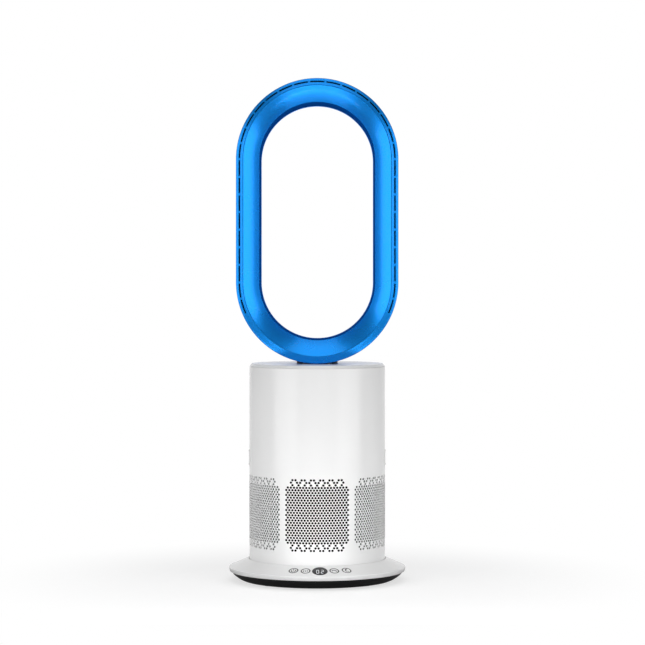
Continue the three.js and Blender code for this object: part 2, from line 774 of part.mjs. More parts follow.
function impeller() {
  const steps = 4;
  const nose = Array.from(
    { length: steps + 1 },
    (_, i) => [hubR(i / steps), EYE_Z + (IMPELLER_HIGH * i) / steps],
  );
  const bore = SHAFT_R + GAP;
  const rimTop = EYE_Z + IMPELLER_HIGH + IMPELLER_RIM;
  const hub = revolve([[bore, EYE_Z], ...nose, [HUB_TAIL_R, rimTop], [bore, rimTop]], INNER_SIDES);
  const rows = blades(
    BLADES,
    EYE_Z + 1,
    EYE_Z + IMPELLER_HIGH,
    (t) => hubR(t) - 2,
    (t) => eyeToRim(t * (IMPELLER_HIGH / (BLOWER_WIDE_Z - EYE_Z))) - TIP_CLEARANCE,
    BLADE_TWIST,
    BLADE_THICK,
  );
  return join(hub, ...rows);
}

const impellerNut = () => tube(SHAFT_R + 1.2, NUT_R, EYE_Z - GAP - NUT_HIGH, EYE_Z - GAP, 6);

const motorShaft = () => rod(SHAFT_R, SHAFT_LOW, endPlateLow + WALL, 16);

const motorRotor = () => tube(SHAFT_R + GAP, ROTOR_R, STATOR_LOW - 2, STATOR_LOW - 2 + ROTOR_HIGH, FEW_SIDES);

function impellerHousing() {
  const w = DUCT_WALL;
  return revolve(
    [
      [INLET_MOUTH_R, BLOWER_LOW],
      [INLET_MOUTH_R + 1, BLOWER_LOW + w],
      [EYE_R + 2 + w, BLOWER_LOW + 8],
      [EYE_R + w, EYE_Z],
      [BLOWER_R + w, BLOWER_WIDE_Z],
      [BLOWER_R + w, mountTop + GAP],
      [BLOWER_R + w + FLANGE_WIDE, mountTop + GAP],
      [BLOWER_R + w + FLANGE_WIDE, mountTop + GAP + WALL],
      [BLOWER_R + w, mountTop + GAP + WALL],
      [BLOWER_R + w, BLOWER_TOP],
      [BLOWER_R, BLOWER_TOP],
      [BLOWER_R, BLOWER_WIDE_Z],
      [EYE_R, EYE_Z],
      [EYE_R + 2, BLOWER_LOW + 6],
    ],
    INNER_SIDES,
  );
}

const motorMountRing = () => tube(BLOWER_R + DUCT_WALL + 2 * GAP, insideR, mountLow, mountTop, INNER_SIDES);

function outletDuct() {
  const low = BLOWER_TOP + GAP;
  const high = ductTop;
  const at = (share) => low + (high - low) * share;
  const bore = (share) => collarR + (BLOWER_R - collarR) * (1 + Math.cos(Math.PI * share)) * 0.5;
  const shares = [0, 0.25, 0.5, 0.75, 1];
  const inner = shares.map((s) => [bore(s), at(s)]).reverse();
  const outer = shares.map((s) => [bore(s) + DUCT_WALL, at(s)]);
  return revolve([...outer, ...inner], INNER_SIDES);
}

function diffuser() {
  const high = DIFFUSER_LOW + DIFFUSER_HIGH;
  const hub = tube(MOTOR_R + GAP, MOTOR_R + GAP + WALL, DIFFUSER_LOW, high, INNER_SIDES);
  const rim = tube(BLOWER_R - GAP - WALL, BLOWER_R - 2 * GAP, DIFFUSER_LOW, high, INNER_SIDES);
  const rows = blades(
    VANES,
    DIFFUSER_LOW + 2,
    high - 2,
    () => MOTOR_R + 2,
    () => BLOWER_R - 2,
    VANE_TWIST,
    BLADE_THICK,
  );
  return join(hub, rim, ...rows);
}

function motorHousing() {
  const seatR = BEARING_R + GAP;
  return revolve(
    [
      [seatR, MOTOR_LOW],
      [MOTOR_R, MOTOR_LOW],
      [MOTOR_R, motorTop],
      [MOTOR_R - WALL, motorTop],
      [MOTOR_R - WALL, MOTOR_LOW + WALL],
      [seatR + WALL, MOTOR_LOW + WALL],
      [seatR + WALL, MOTOR_LOW + BEARING_HIGH + 1],
      [seatR, MOTOR_LOW + BEARING_HIGH + 1],
    ],
    INNER_SIDES,
  );
}

const bearing = (low) => tube(SHAFT_R + GAP, BEARING_R, low, low + BEARING_HIGH, FEW_SIDES);

const motorStator = () =>
  tube(ROTOR_R + 1, MOTOR_R - WALL - GAP, STATOR_LOW, STATOR_LOW + STATOR_HIGH, INNER_SIDES);

function motorEndPlate() {
  const seatR = BEARING_R + GAP;
  const low = endPlateLow - (BEARING_HIGH - WALL);
  return revolve(
    [
      [seatR, low],
      [seatR + WALL, low],
      [seatR + WALL, endPlateLow],
      [MOTOR_R - WALL - GAP, endPlateLow],
      [MOTOR_R - WALL - GAP, endPlateLow + WALL],
      [seatR, endPlateLow + WALL],
    ],
    INNER_SIDES,
  );
}

function motorBoard() {
  const low = endPlateLow + WALL + 1;
  const disc = rod(MOTOR_R - WALL - 1, low, low + BOARD_THICK, FEW_SIDES);
  const chip = (a) => block(-4, 4, -3, 3, low + 1, low + 6).translate(...onCircle(24, a), 0);
  const parts = spread(5, 20).map(chip);
  return join(disc, ...parts);
}

function motorCap() {
  const low = motorTop + GAP;
  const steps = 4;
  // from the rim up to the axis, as a quarter of an ellipse
  const dome = (r, high) => [
    ...Array.from({ length: steps }, (_, i) => {
      const a = (Math.PI / 2) * (i / steps);
      return [r * Math.cos(a), low + high * Math.sin(a)];
    }),
    [0, low + high],
  ];
  const inner = dome(MOTOR_R - WALL, CAP_DOME_HIGH - WALL);
  return revolve([...inner.reverse(), ...dome(MOTOR_R, CAP_DOME_HIGH)], INNER_SIDES);
}

// ---------- loop ----------
// A closed section of [inset from the outer edge, y] points, carried once round the loop.
function loopRing(section) {
  const stations = [];
  for (const [lift, from] of [[LOOP_STRAIGHT, 0], [-LOOP_STRAIGHT, 180]]) {
    for (let i = 0; i <= ARC_STEPS; i++) stations.push([lift, rad(from + (180 * i) / ARC_STEPS)]);
  }
  return torusOf(
    stations.map(([lift, a]) =>
      section.map(([inset, y]) => {
        const reach = LOOP_HALF_WIDE - inset;
        return [reach * Math.cos(a), y, loopZ + lift + reach * Math.sin(a)];
      }),
    ),
  );
}

// The loop's outline, grown by a margin, as one solid through its whole depth.
function loopPrism(grow) {
  const reach = LOOP_HALF_WIDE + grow;
  const outline = [
    ...arcPoints(0, LOOP_STRAIGHT, reach, 0, 180, ARC_STEPS),
    ...arcPoints(0, -LOOP_STRAIGHT, reach, 180, 360, ARC_STEPS),
  ];
  return extrudeAlongY(outline, LOOP_DEEP).translate(0, 0, loopZ);
}

// One slot's tool for every dash of the front band.
function dashTools() {
  const reach = LOOP_HALF_WIDE - DASH_IN;
  const step = 180 / DASHES_ROUND;
  const arcLong = rad(step) * reach - DASH_GAP;
  const straightStep = (2 * LOOP_STRAIGHT) / DASHES_STRAIGHT;
  const dash = (long) =>
    block(-DASH_WIDE / 2, DASH_WIDE / 2, frontY - 2, frontY + 2 * LOOP_WALL, -long / 2, long / 2);
  const onArc = (angle, lift) =>
    dash(arcLong)
      .translate(reach, 0, 0)
      .rotateY(-rad(angle))
      .translate(0, 0, loopZ + lift);
  const tools = [];
  for (let i = 0; i < DASHES_ROUND; i++) tools.push(onArc((i + 0.5) * step, LOOP_STRAIGHT));
  for (const side of [-1, 1]) {
    for (let i = 0; i < DASHES_STRAIGHT; i++) {
      const z = loopZ - LOOP_STRAIGHT + (i + 0.5) * straightStep;
      tools.push(dash(straightStep - DASH_GAP).translate(side * reach, 0, z));
    }
    for (let i = 0; i < DASHES_BELOW; i++) {
      const down = (i + 0.5) * step;
      tools.push(onArc(side > 0 ? -down : 180 + down, -LOOP_STRAIGHT));
    }
  }
  return tools;
}

const neckHole = () => rod(NECK_R - NECK_WALL, BODY_TOP - THROUGH, BODY_TOP + THROUGH, FEW_SIDES);

function loopFrontShell() {
  const w = LOOP_WALL;
  const section = [
    [0, -GAP / 2],
    [0, frontY + LOOP_EDGE],
    [LOOP_EDGE, frontY],
    [BAND_WIDE, frontY],
    [THROAT_IN, frontY + BEVEL_DEEP],
    [THROAT_IN - w * Math.sin(bevelAngle), frontY + BEVEL_DEEP + w * Math.cos(bevelAngle)],
    [BAND_WIDE - w * Math.tan(bevelAngle / 2), frontY + w],
    [w, frontY + w],
    [w, -GAP / 2],
  ];
  return cut(loopRing(section), ...dashTools(), neckHole());
}

const slitFront = backY - BACK_LIP - AIR_SLIT; // where the throat ends and the air comes out

function loopThroatRing() {
  const w = LOOP_WALL;
  const rise = (BACK_IN - THROAT_IN) * 0.6;
  const low = frontY + BEVEL_DEEP + GAP;
  return loopRing([
    [THROAT_IN, low],
    [THROAT_IN + rise, slitFront],
    [THROAT_IN + rise - w, slitFront],
    [THROAT_IN - w, low + w / Math.tan(bevelAngle)],
  ]);
}

function loopRearShell() {
  const w = LOOP_WALL;
  const q = LOOP_BACK_ROUND;
  const section = [
    [w, GAP / 2],
    [w, backY - q],
    [q, backY - w],
    [BACK_IN - w, backY - w],
    [BACK_IN - w, backY - BACK_LIP],
    [BACK_IN, backY - BACK_LIP],
    [BACK_IN, backY - 1.5],
    [BACK_IN - 1.5, backY],
    ...arcPoints(q, backY - q, q, 90, 180, 3),
    [0, GAP / 2],
  ];
  return cut(loopRing(section), neckHole());
}

function loopSeal() {
  const near = LOOP_WALL + GAP;
  const far = near + SEAL_THICK;
  const half = SEAL_WIDE / 2;
  return cut(loopRing([[near, half], [near, -half], [far, -half], [far, half]]), neckHole());
}

function loopNeck() {
  const inner = NECK_R - NECK_WALL;
  const groove = NECK_R - NECK_GROOVE;
  const low = RING_SEAL_LOW;
  const top = BODY_TOP + THROUGH;
  const catchTop = HOOK_LOW + HOOK_HIGH + leverLift + GAP;
  const body = revolve(
    [
      [inner, neckLow],
      [NECK_R, neckLow],
      [NECK_R, low],
      [groove, low],
      [groove, low + RING_SEAL_HIGH],
      [NECK_R, low + RING_SEAL_HIGH],
      [NECK_R, HOOK_LOW - GAP],
      [groove, HOOK_LOW - GAP],
      [groove, catchTop],
      [NECK_R, catchTop],
      [NECK_R, top],
      [inner, top],
    ],
    INNER_SIDES,
  );
  return cut(body, loopPrism(GAP));
}

const neckSeal = () =>
  tube(
    NECK_R - NECK_GROOVE + GAP,
    NECK_R + GAP,
    RING_SEAL_LOW + GAP,
    RING_SEAL_LOW + RING_SEAL_HIGH - GAP,
    INNER_SIDES,
  );

// ---------- the object ----------
const finish = (color, roughness, metalness = 0) => ({ color, roughness, metalness });
const GLOSS_WHITE = finish(0xf2f3f4, 0.22);
const BLACK = finish(0x1b1c1e, 0.35);
const RUBBER = finish(0x161616, 0.85);
const STEEL = finish(0x9a9c9f, 0.35, 1);
const BLUE_METAL = finish(0x0a8cf0, 0.28, 0.6);
const DEEP_BLUE = finish(0x06306e, 0.35, 0.3);
const NAVY = finish(0x0c1b34, 0.45);
const GREY = finish(0x8b8f94, 0.5);
const BOARD_GREEN = finish(0x1e5a3a, 0.5);
const SMOKED = finish(0x10131a, 0.08);

const fan = new THREE.Group();

function add(name, geometry, look, at = [0, 0, 0], turn = 0) {
  const mesh = new THREE.Mesh(geometry, new THREE.MeshStandardMaterial(look));
  mesh.name = name;
  mesh.position.set(...at);
  mesh.rotation.z = turn;
  fan.add(mesh);
}

add("base_shell", baseShell(), GLOSS_WHITE);
add("base_skirt", baseSkirt(), BLACK);
add("base_plate", basePlate(), BLACK);
add("ballast_ring", ballastRing(), STEEL);
spread(FOOT_COUNT, 45).forEach((a, i) =>
  add(`rubber_foot_${i + 1}`, rubberFoot(), RUBBER, [...onCircle(footRingR, a), 0]),
);
spread(SCREW_COUNT, 45).forEach((a, i) =>
  add(`base_screw_${i + 1}`, baseScrew(), STEEL, [...onCircle(screwRingR, a), 0]),
);
add("pivot_post", pivotPost(), STEEL);
add("retaining_ring", retainingRing(), STEEL);
add("slide_ring", slideRing(), GREY);
add("oscillation_motor", oscillationMotor(), STEEL);
add("drive_pinion", drivePinion(), GREY);
add("control_board", controlBoard(), BOARD_GREEN);
add("display_module", displayModule(), BLACK);
add("display_window", displayWindow(), SMOKED);
Object.entries(KEYS).forEach(([name, a]) => add(`${name}_key`, functionKey(a), GLOSS_WHITE));
add("power_inlet", powerInlet(), BLACK);

add("turntable", turntable(), GREY);
add("gear_sector", gearSector(), GREY);
add("body_shell", bodyShell(), GLOSS_WHITE);
add("top_cap", topCap(), GLOSS_WHITE);
[["right", 0], ["left", Math.PI]].forEach(([side, turn]) => {
  add(`release_button_${side}`, releaseButton(), GLOSS_WHITE, [0, 0, 0], turn);
  add(`release_lever_${side}`, releaseLever(), GREY, [0, 0, 0], turn);
  add(`lever_pin_${side}`, leverPin(), STEEL, [0, 0, 0], turn);
});

add("motor_mount_ring", motorMountRing(), RUBBER);
add("impeller_housing", impellerHousing(), GREY);
add("outlet_duct", outletDuct(), GREY);
add("diffuser", diffuser(), GREY);
add("motor_housing", motorHousing(), GREY);
add("lower_bearing", bearing(MOTOR_LOW + GAP), STEEL);
add("upper_bearing", bearing(endPlateLow + WALL - BEARING_HIGH), STEEL);
add("motor_stator", motorStator(), STEEL);
add("motor_end_plate", motorEndPlate(), STEEL);
add("motor_board", motorBoard(), BOARD_GREEN);
add("motor_cap", motorCap(), GREY);
add("impeller", impeller(), GREY);
add("impeller_nut", impellerNut(), STEEL);
add("motor_shaft", motorShaft(), STEEL);
add("motor_rotor", motorRotor(), STEEL);

add("loop_front_shell", loopFrontShell(), BLUE_METAL);
add("loop_rear_shell", loopRearShell(), BLUE_METAL);
add("loop_throat_ring", loopThroatRing(), DEEP_BLUE);
add("loop_seal", loopSeal(), RUBBER);
add("loop_neck", loopNeck(), NAVY);
add("neck_seal", neckSeal(), RUBBER);

export default fan;
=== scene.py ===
"""Looks of a bladeless fan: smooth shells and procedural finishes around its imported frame.

Sizes are in millimetres until a mesh is made. Angles round the column are in degrees from the front (-Y)
towards +X.
"""
import json
import logging
from dataclasses import dataclass
from enum import Enum
from typing import Callable, Optional, Sequence

import bmesh
import bpy
import numpy as np
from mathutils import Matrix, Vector


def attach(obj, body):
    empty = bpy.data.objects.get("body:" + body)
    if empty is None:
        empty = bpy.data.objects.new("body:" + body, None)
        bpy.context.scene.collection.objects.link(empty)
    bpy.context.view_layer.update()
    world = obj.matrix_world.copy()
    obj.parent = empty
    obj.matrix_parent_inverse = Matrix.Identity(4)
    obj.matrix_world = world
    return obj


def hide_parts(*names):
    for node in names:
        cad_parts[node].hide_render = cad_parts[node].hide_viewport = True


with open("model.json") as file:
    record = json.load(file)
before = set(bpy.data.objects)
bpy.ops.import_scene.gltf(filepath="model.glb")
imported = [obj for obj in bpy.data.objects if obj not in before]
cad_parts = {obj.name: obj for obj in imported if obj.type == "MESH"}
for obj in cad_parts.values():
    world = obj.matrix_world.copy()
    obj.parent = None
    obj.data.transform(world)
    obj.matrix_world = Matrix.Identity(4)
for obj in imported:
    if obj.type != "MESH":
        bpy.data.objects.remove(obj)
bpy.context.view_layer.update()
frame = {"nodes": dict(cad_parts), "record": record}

LOG = logging.getLogger("fan")
MM = 0.001
WELD = 1e-3  # points closer than this become one
TINY = 1e-6  # less than any real length
CELL_SHIFT = 0.137  # keeps round sizes off the edges of the cells that near points are sorted into
SHARP_DEGREES = 26.0  # edges that bend more than this stay crisp
GAP = 0.3  # clearance between neighbouring pieces


class Body(Enum):
    """The moving bodies that pieces ride on."""

    BASE = "base"
    COLUMN = "column"
    BUTTON_RIGHT = "button_right"
    BUTTON_LEFT = "button_left"
    POWER_KEY = "power_key"
    BREEZE_KEY = "breeze_key"
    SWING_KEY = "swing_key"
    TIMER_KEY = "timer_key"


class Slot(Enum):
    """The record's material slots."""

    WHITE = "white_abs"
    BLACK = "black_abs"
    SMOKED = "smoked_acrylic"
    BLUE = "blue_metallic_abs"
    DEEP_BLUE = "deep_blue_abs"
    NAVY = "navy_abs"
    GREY = "grey_abs"
    RUBBER = "rubber"
    STEEL = "steel"
    LAMINATE = "board_laminate"


# ---------------------------------------------------------------- surfaces
@dataclass
class Surface:
    """Points in millimetres and the faces between them, kept as arrays of equal-sided faces."""

    points: np.ndarray
    faces: list[np.ndarray]

    def __add__(self, other: "Surface") -> "Surface":
        """Both surfaces as one."""
        shift = len(self.points)
        points = np.vstack([self.points, other.points])
        return Surface(points, self.faces + [f + shift for f in other.faces])

    def moved(self, place: Callable[[np.ndarray], np.ndarray]) -> "Surface":
        """The same faces on points that a function has carried elsewhere."""
        return Surface(place(self.points), self.faces)

    def object(self, name: str) -> bpy.types.Object:
        """Makes the welded, smooth-shaded mesh object in metres.

        Args:
            name: the piece's name.

        Returns:
            The object, at the origin, with its place in its mesh.
        """
        mesh = bpy.data.meshes.new(name)
        mesh.from_pydata((self.points * MM).tolist(), [], [row for f in self.faces for row in f.tolist()])
        work = bmesh.new()
        work.from_mesh(mesh)
        bmesh.ops.remove_doubles(work, verts=work.verts, dist=WELD * MM)
        work.to_mesh(mesh)
        work.free()
        mesh.polygons.foreach_set("use_smooth", np.ones(len(mesh.polygons), bool))
        mesh.set_sharp_from_angle(angle=np.radians(SHARP_DEGREES))
        made = bpy.data.objects.new(name, mesh)
        bpy.context.scene.collection.objects.link(made)
        return made


def place(
    surface: Surface,
    name: str,
    body: Body,
    slot: Slot,
    finish: bpy.types.Material,
    *nodes: str,
) -> None:
    """Makes a piece, dresses it and sets it on its body.

    Args:
        surface: the piece's surface in millimetres.
        name: the piece's name.
        body: the body that it rides on.
        slot: the record's slot for the piece; not used.
        finish: its material.
        nodes: the frame's nodes that it stands for.
    """
    made = surface.object(name)
    made.data.materials.append(finish)
    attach(made, body.value)
    if nodes:
        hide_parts(*nodes)
    LOG.info("%s: %d faces on %s", name, len(made.data.polygons), body.value)


def grid_quads(
    rows: int,
    columns: int,
    close_rows: bool = False,
    close_columns: bool = False,
) -> np.ndarray:
    """Quads of a grid of points stored row after row.

    Args:
        rows: how many rows.
        columns: points in each row.
        close_rows: whether the last row joins the first.
        close_columns: whether each row's last point joins its first.

    Returns:
        An array of quads that turn from the row direction to the column direction.
    """
    i, j = np.meshgrid(
        np.arange(rows if close_rows else rows - 1),
        np.arange(columns if close_columns else columns - 1),
        indexing="ij",
    )
    k, m = (i + 1) % rows, (j + 1) % columns
    corners = [i * columns + j, k * columns + j, k * columns + m, i * columns + m]
    return np.stack(corners, axis=-1).reshape(-1, 4)


def rounded(
    corners: Sequence[Sequence[float]],
    radii: float | Sequence[float],
    steps: int = 5,
) -> np.ndarray:
    """A closed outline whose corners are arcs.

    Each corner's arc touches both its sides: it starts radius / tan(half angle) along one side, and its
    centre lies on the bisector, radius / sin(half angle) from the corner.

    Args:
        corners: the outline's corners in order.
        radii: one radius, or one for each corner. Zero keeps the corner.
        steps: the segments of each arc.

    Returns:
        The outline's points.
    """
    p = np.asarray(corners, float)
    r = np.broadcast_to(np.asarray(radii, float), len(p))
    back = np.roll(p, 1, axis=0) - p
    ahead = np.roll(p, -1, axis=0) - p
    back /= np.linalg.norm(back, axis=1)[:, None]
    ahead /= np.linalg.norm(ahead, axis=1)[:, None]
    half = np.arccos(np.clip((back * ahead).sum(1), -1, 1)) / 2
    middle = back + ahead
    middle /= np.maximum(np.linalg.norm(middle, axis=1), TINY)[:, None]
    centre = p + middle * (r / np.sin(half))[:, None]
    reach = (r / np.tan(half))[:, None]
    start, end = p + back * reach - centre, p + ahead * reach - centre
    first = np.arctan2(start[:, 1], start[:, 0])
    sweep = np.arctan2(end[:, 1], end[:, 0]) - first
    sweep = (sweep + np.pi) % (2 * np.pi) - np.pi
    a = first[:, None] + sweep[:, None] * np.linspace(0, 1, steps + 1)
    ring = centre[:, None] + r[:, None, None] * np.stack([np.cos(a), np.sin(a)], -1)
    ring = ring.reshape(-1, 2)
    apart = np.linalg.norm(ring - np.roll(ring, 1, axis=0), axis=1)
    return ring[apart > TINY]


def revolve(profile: np.ndarray, sides: int = 160) -> Surface:
    """A closed profile of (radius, height), anticlockwise with the axis on its left, turned about Z.

    A point is (radius cos a, radius sin a, height) for each of the equal angles a.

    Args:
        profile: the outline.
        sides: the facets round the axis.

    Returns:
        The closed surface.
    """
    a = np.linspace(0, 2 * np.pi, sides, endpoint=False)[:, None]
    r, z = profile[None, :, 0], profile[None, :, 1]
    points = np.stack([r * np.cos(a), r * np.sin(a), z + 0 * a], -1).reshape(-1, 3)
    quads = grid_quads(sides, len(profile), close_rows=True, close_columns=True)
    on_axis = profile[:, 0] < WELD
    kept = ~(on_axis & np.roll(on_axis, -1))
    return Surface(points, [quads.reshape(sides, -1, 4)[:, kept].reshape(-1, 4)])


def walled(outer: np.ndarray, inner: np.ndarray, faces: list[np.ndarray]) -> Surface:
    """A closed wall from a sheet of faces whose every point has an outer and an inner place.

    Points at one outer place are made one. The inner faces are the outer ones turned round, and each edge
    that only one face uses, at a rim or a hole, gets a quad between the two.

    Args:
        outer: the outer places.
        inner: the inner places, in the same order.
        faces: the sheet's faces, anticlockwise seen from outside.

    Returns:
        The closed surface.
    """
    key = np.round(outer / WELD + CELL_SHIFT).astype(np.int64)
    _, first, index = np.unique(key, axis=0, return_index=True, return_inverse=True)
    index = index.reshape(-1)
    outer, inner = outer[first], inner[first]
    count = len(outer)
    faces = [index[f] for f in faces]
    edges = np.vstack([np.stack([f, np.roll(f, -1, axis=1)], -1).reshape(-1, 2) for f in faces])
    ahead, back = edges @ [count, 1], edges @ [1, count]
    a, b = edges[~np.isin(ahead, back)].T
    walls = np.stack([b, a, a + count, b + count], -1)
    return Surface(np.vstack([outer, inner]), faces + [f[:, ::-1] + count for f in faces] + [walls])


@dataclass(frozen=True)
class Opening:
    """A gap in a flat layout: the block of cells that it takes, and its outline where it isn't that block."""

    columns: tuple[int, int]
    rows: tuple[int, int]
    outline: Optional[Callable[[np.ndarray], np.ndarray]] = None
    rings: int = 3


def perimeter(us: np.ndarray, vs: np.ndarray) -> np.ndarray:
    """The points round a block of grid lines, anticlockwise from its low corner.

    Args:
        us: the block's grid lines to the right.
        vs: its grid lines upwards.

    Returns:
        The points as (u, v), each once.
    """
    sides = [
        np.stack([us[:-1], np.full(len(us) - 1, vs[0])], -1),
        np.stack([np.full(len(vs) - 1, us[-1]), vs[:-1]], -1),
        np.stack([us[:0:-1], np.full(len(us) - 1, vs[-1])], -1),
        np.stack([np.full(len(vs) - 1, us[0]), vs[:0:-1]], -1),
    ]
    return np.vstack(sides)


def layout(
    us: np.ndarray,
    vs: np.ndarray,
    openings: Sequence[Opening] = (),
) -> tuple[np.ndarray, list[np.ndarray]]:
    """A flat sheet of cells with openings.

    An opening with an outline takes a block of cells out and puts rings of quads back between the block's
    edge and the outline, each ring a straight share of the way from one to the other.

    Args:
        us: grid lines to the right, seen from outside.
        vs: grid lines upwards.
        openings: the openings, on blocks of their own.

    Returns:
        The points as (u, v) and the faces.
    """
    u, v = np.meshgrid(us, vs, indexing="ij")
    points = [np.stack([u, v], -1).reshape(-1, 2)]
    cells = grid_quads(len(us), len(vs)).reshape(len(us) - 1, len(vs) - 1, 4)
    kept = np.ones(cells.shape[:2], bool)
    faces = []
    count = len(points[0])
    for gap in openings:
        (i, j), (m, n) = gap.columns, gap.rows
        kept[i:j, m:n] = False
        if gap.outline is None:
            continue
        edge = perimeter(us[i : j + 1], vs[m : n + 1])
        share = np.linspace(0, 1, gap.rings + 1)[:, None, None]
        rings = gap.outline(edge) * (1 - share) + edge * share
        points.append(rings.reshape(-1, 2))
        faces.append(grid_quads(gap.rings + 1, len(edge), close_columns=True) + count)
        count += rings.shape[0] * rings.shape[1]
    return np.vstack(points), [cells[kept], *faces]


def around(radius: np.ndarray, degrees: np.ndarray, height: np.ndarray) -> np.ndarray:
    """Points at a radius and an angle from the front: (r sin a, -r cos a, z)."""
    a = np.radians(degrees)
    return np.stack([radius * np.sin(a), -radius * np.cos(a), height + 0 * a], -1)


@dataclass(frozen=True)
class TurnedWall:
    """A wall turned about the column's axis. Outer and inner radius and height are read off at each knot."""

    knots: np.ndarray
    outer: np.ndarray
    inner: np.ndarray

    def solid(self, us: np.ndarray, vs: np.ndarray, openings: Sequence[Opening] = ()) -> Surface:
        """The closed wall, with its openings.

        Args:
            us: the angles of its upright grid lines.
            vs: the knots' values of its level grid lines.
            openings: its openings, in grid lines and (angle, knot value).

        Returns:
            The surface.
        """
        uv, faces = layout(us, vs, openings)
        u, v = uv.T

        def side(rz: np.ndarray) -> np.ndarray:
            """One side's points, by straight interpolation between the knots."""
            return around(np.interp(v, self.knots, rz[:, 0]), u, np.interp(v, self.knots, rz[:, 1]))

        return walled(side(self.outer), side(self.inner), faces)


def round_off(points: np.ndarray, half: tuple[float, float], radius: float) -> np.ndarray:
    """Carries points on a rectangle's edge to the rectangle with rounded corners.

    Each point is held to the rectangle less its corner radius, and then stands out from there by the radius.

    Args:
        points: points on the edge of the rectangle of these half sizes, round the origin.
        half: half its width and half its height.
        radius: the corners' radius.

    Returns:
        The points on the rounded outline.
    """
    inner = np.array(half) - radius
    held = np.clip(points, -inner, inner)
    out = points - held
    return held + radius * out / np.linalg.norm(out, axis=1)[:, None]


# ---------------------------------------------------------------- finishes
def linear(colour: str) -> tuple[float, float, float, float]:
    """An sRGB hex colour as linear RGBA.

    A channel up to 0.04045 is divided by 12.92. A higher one, plus 0.055 and divided by 1.055, is raised to
    2.4.

    Args:
        colour: the colour as #RRGGBB.

    Returns:
        The linear channels and a full alpha.
    """
    srgb = np.array([int(colour[i : i + 2], 16) for i in (1, 3, 5)]) / 255
    flat = np.where(srgb <= 0.04045, srgb / 12.92, ((srgb + 0.055) / 1.055) ** 2.4)
    return (*flat.tolist(), 1.0)


def add_node(
    tree: bpy.types.NodeTree,
    kind: str,
    inputs: Optional[dict[str | int, object]] = None,
    **settings: object,
) -> bpy.types.Node:
    """Adds a node with its settings and links.

    Args:
        tree: the node tree.
        kind: the node's type.
        inputs: a value, or the socket to link, for each named or numbered input.
        settings: the node's own properties.

    Returns:
        The node.
    """
    node = tree.nodes.new(kind)
    for key, value in settings.items():
        setattr(node, key, value)
    for key, value in (inputs or {}).items():
        if isinstance(value, bpy.types.NodeSocket):
            tree.links.new(value, node.inputs[key])
        else:
            node.inputs[key].default_value = value
    return node


def new_material(name: str) -> tuple[bpy.types.Material, bpy.types.NodeTree]:
    """An empty node material.

    Args:
        name: the material's name.

    Returns:
        The material and its node tree.
    """
    made = bpy.data.materials.new(name)
    made.use_nodes = True
    made.node_tree.nodes.clear()
    return made, made.node_tree


@dataclass(frozen=True)
class Finish:
    """A solid finish: a colour that drifts between two shades, a roughness that drifts, and a fine relief.

    drift_mm is the size of the drift's patches, relief_mm that of the relief's bumps, and relief_high the
    bumps' height in millimetres. The details are how many finer layers each pattern has.
    """

    name: str
    colour: str
    shade: str
    roughness: float
    smudge: float = 0.04
    drift_mm: float = 70.0
    relief_mm: float = 9.0
    relief_high: float = 0.004
    drift_detail: float = 3.0
    relief_detail: float = 2.0
    metallic: float = 0.0
    ior: float = 1.53
    coat: float = 0.0
    coat_roughness: float = 0.04

    def build(self) -> bpy.types.Material:
        """The finish as a material on Object coordinates."""
        made, tree = new_material(self.name)
        where = add_node(tree, "ShaderNodeTexCoord").outputs["Object"]
        drift = add_node(
            tree,
            "ShaderNodeTexNoise",
            {"Vector": where, "Scale": 1 / (self.drift_mm * MM), "Detail": self.drift_detail},
        )
        tint = add_node(
            tree,
            "ShaderNodeMixRGB",
            {"Fac": drift.outputs["Fac"], "Color1": linear(self.colour), "Color2": linear(self.shade)},
        )
        rough = add_node(
            tree,
            "ShaderNodeMapRange",
            {
                "Value": drift.outputs["Fac"],
                "To Min": self.roughness - self.smudge,
                "To Max": self.roughness + self.smudge,
            },
        )
        relief = add_node(
            tree,
            "ShaderNodeTexNoise",
            {"Vector": where, "Scale": 1 / (self.relief_mm * MM), "Detail": self.relief_detail},
        )
        bump = add_node(
            tree,
            "ShaderNodeBump",
            {"Height": relief.outputs["Fac"], "Distance": self.relief_high * MM, "Strength": 1.0},
        )
        shader = add_node(
            tree,
            "ShaderNodeBsdfPrincipled",
            {
                "Base Color": self.tinted(tree, where, tint.outputs["Color"]),
                "Roughness": rough.outputs["Result"],
                "Normal": bump.outputs["Normal"],
                "Metallic": self.metallic,
                "IOR": self.ior,
                "Coat Weight": self.coat,
                "Coat Roughness": self.coat_roughness,
            },
        )
        add_node(tree, "ShaderNodeOutputMaterial", {"Surface": shader.outputs["BSDF"]})
        return made

    def tinted(
        self,
        tree: bpy.types.NodeTree,
        where: bpy.types.NodeSocket,
        colour: bpy.types.NodeSocket,
    ) -> bpy.types.NodeSocket:
        """The base colour's socket, which a finish of another kind may lay a pattern over."""
        return colour


@dataclass(frozen=True)
class FlakeLacquer(Finish):
    """Metallic lacquer: flakes under a clear coat, each a little lighter or darker than its neighbours."""

    flake_mm: float = 0.9
    flake_shade: str = "#FFFFFF"
    flake_share: float = 0.03

    def tinted(
        self,
        tree: bpy.types.NodeTree,
        where: bpy.types.NodeSocket,
        colour: bpy.types.NodeSocket,
    ) -> bpy.types.NodeSocket:
        """Cells of one flake's size, each mixed a random share towards the flake's shade.

        Args:
            tree: the material's node tree.
            where: the Object coordinates.
            colour: the colour under the flakes.

        Returns:
            The mixed colour's socket.
        """
        cells = add_node(tree, "ShaderNodeTexVoronoi", {"Vector": where, "Scale": 1 / (self.flake_mm * MM)})
        share = add_node(
            tree,
            "ShaderNodeMapRange",
            {"Value": cells.outputs["Color"], "To Min": 0.0, "To Max": self.flake_share},
        )
        mixed = add_node(
            tree,
            "ShaderNodeMixRGB",
            {"Fac": share.outputs["Result"], "Color1": colour, "Color2": linear(self.flake_shade)},
        )
        return mixed.outputs["Color"]


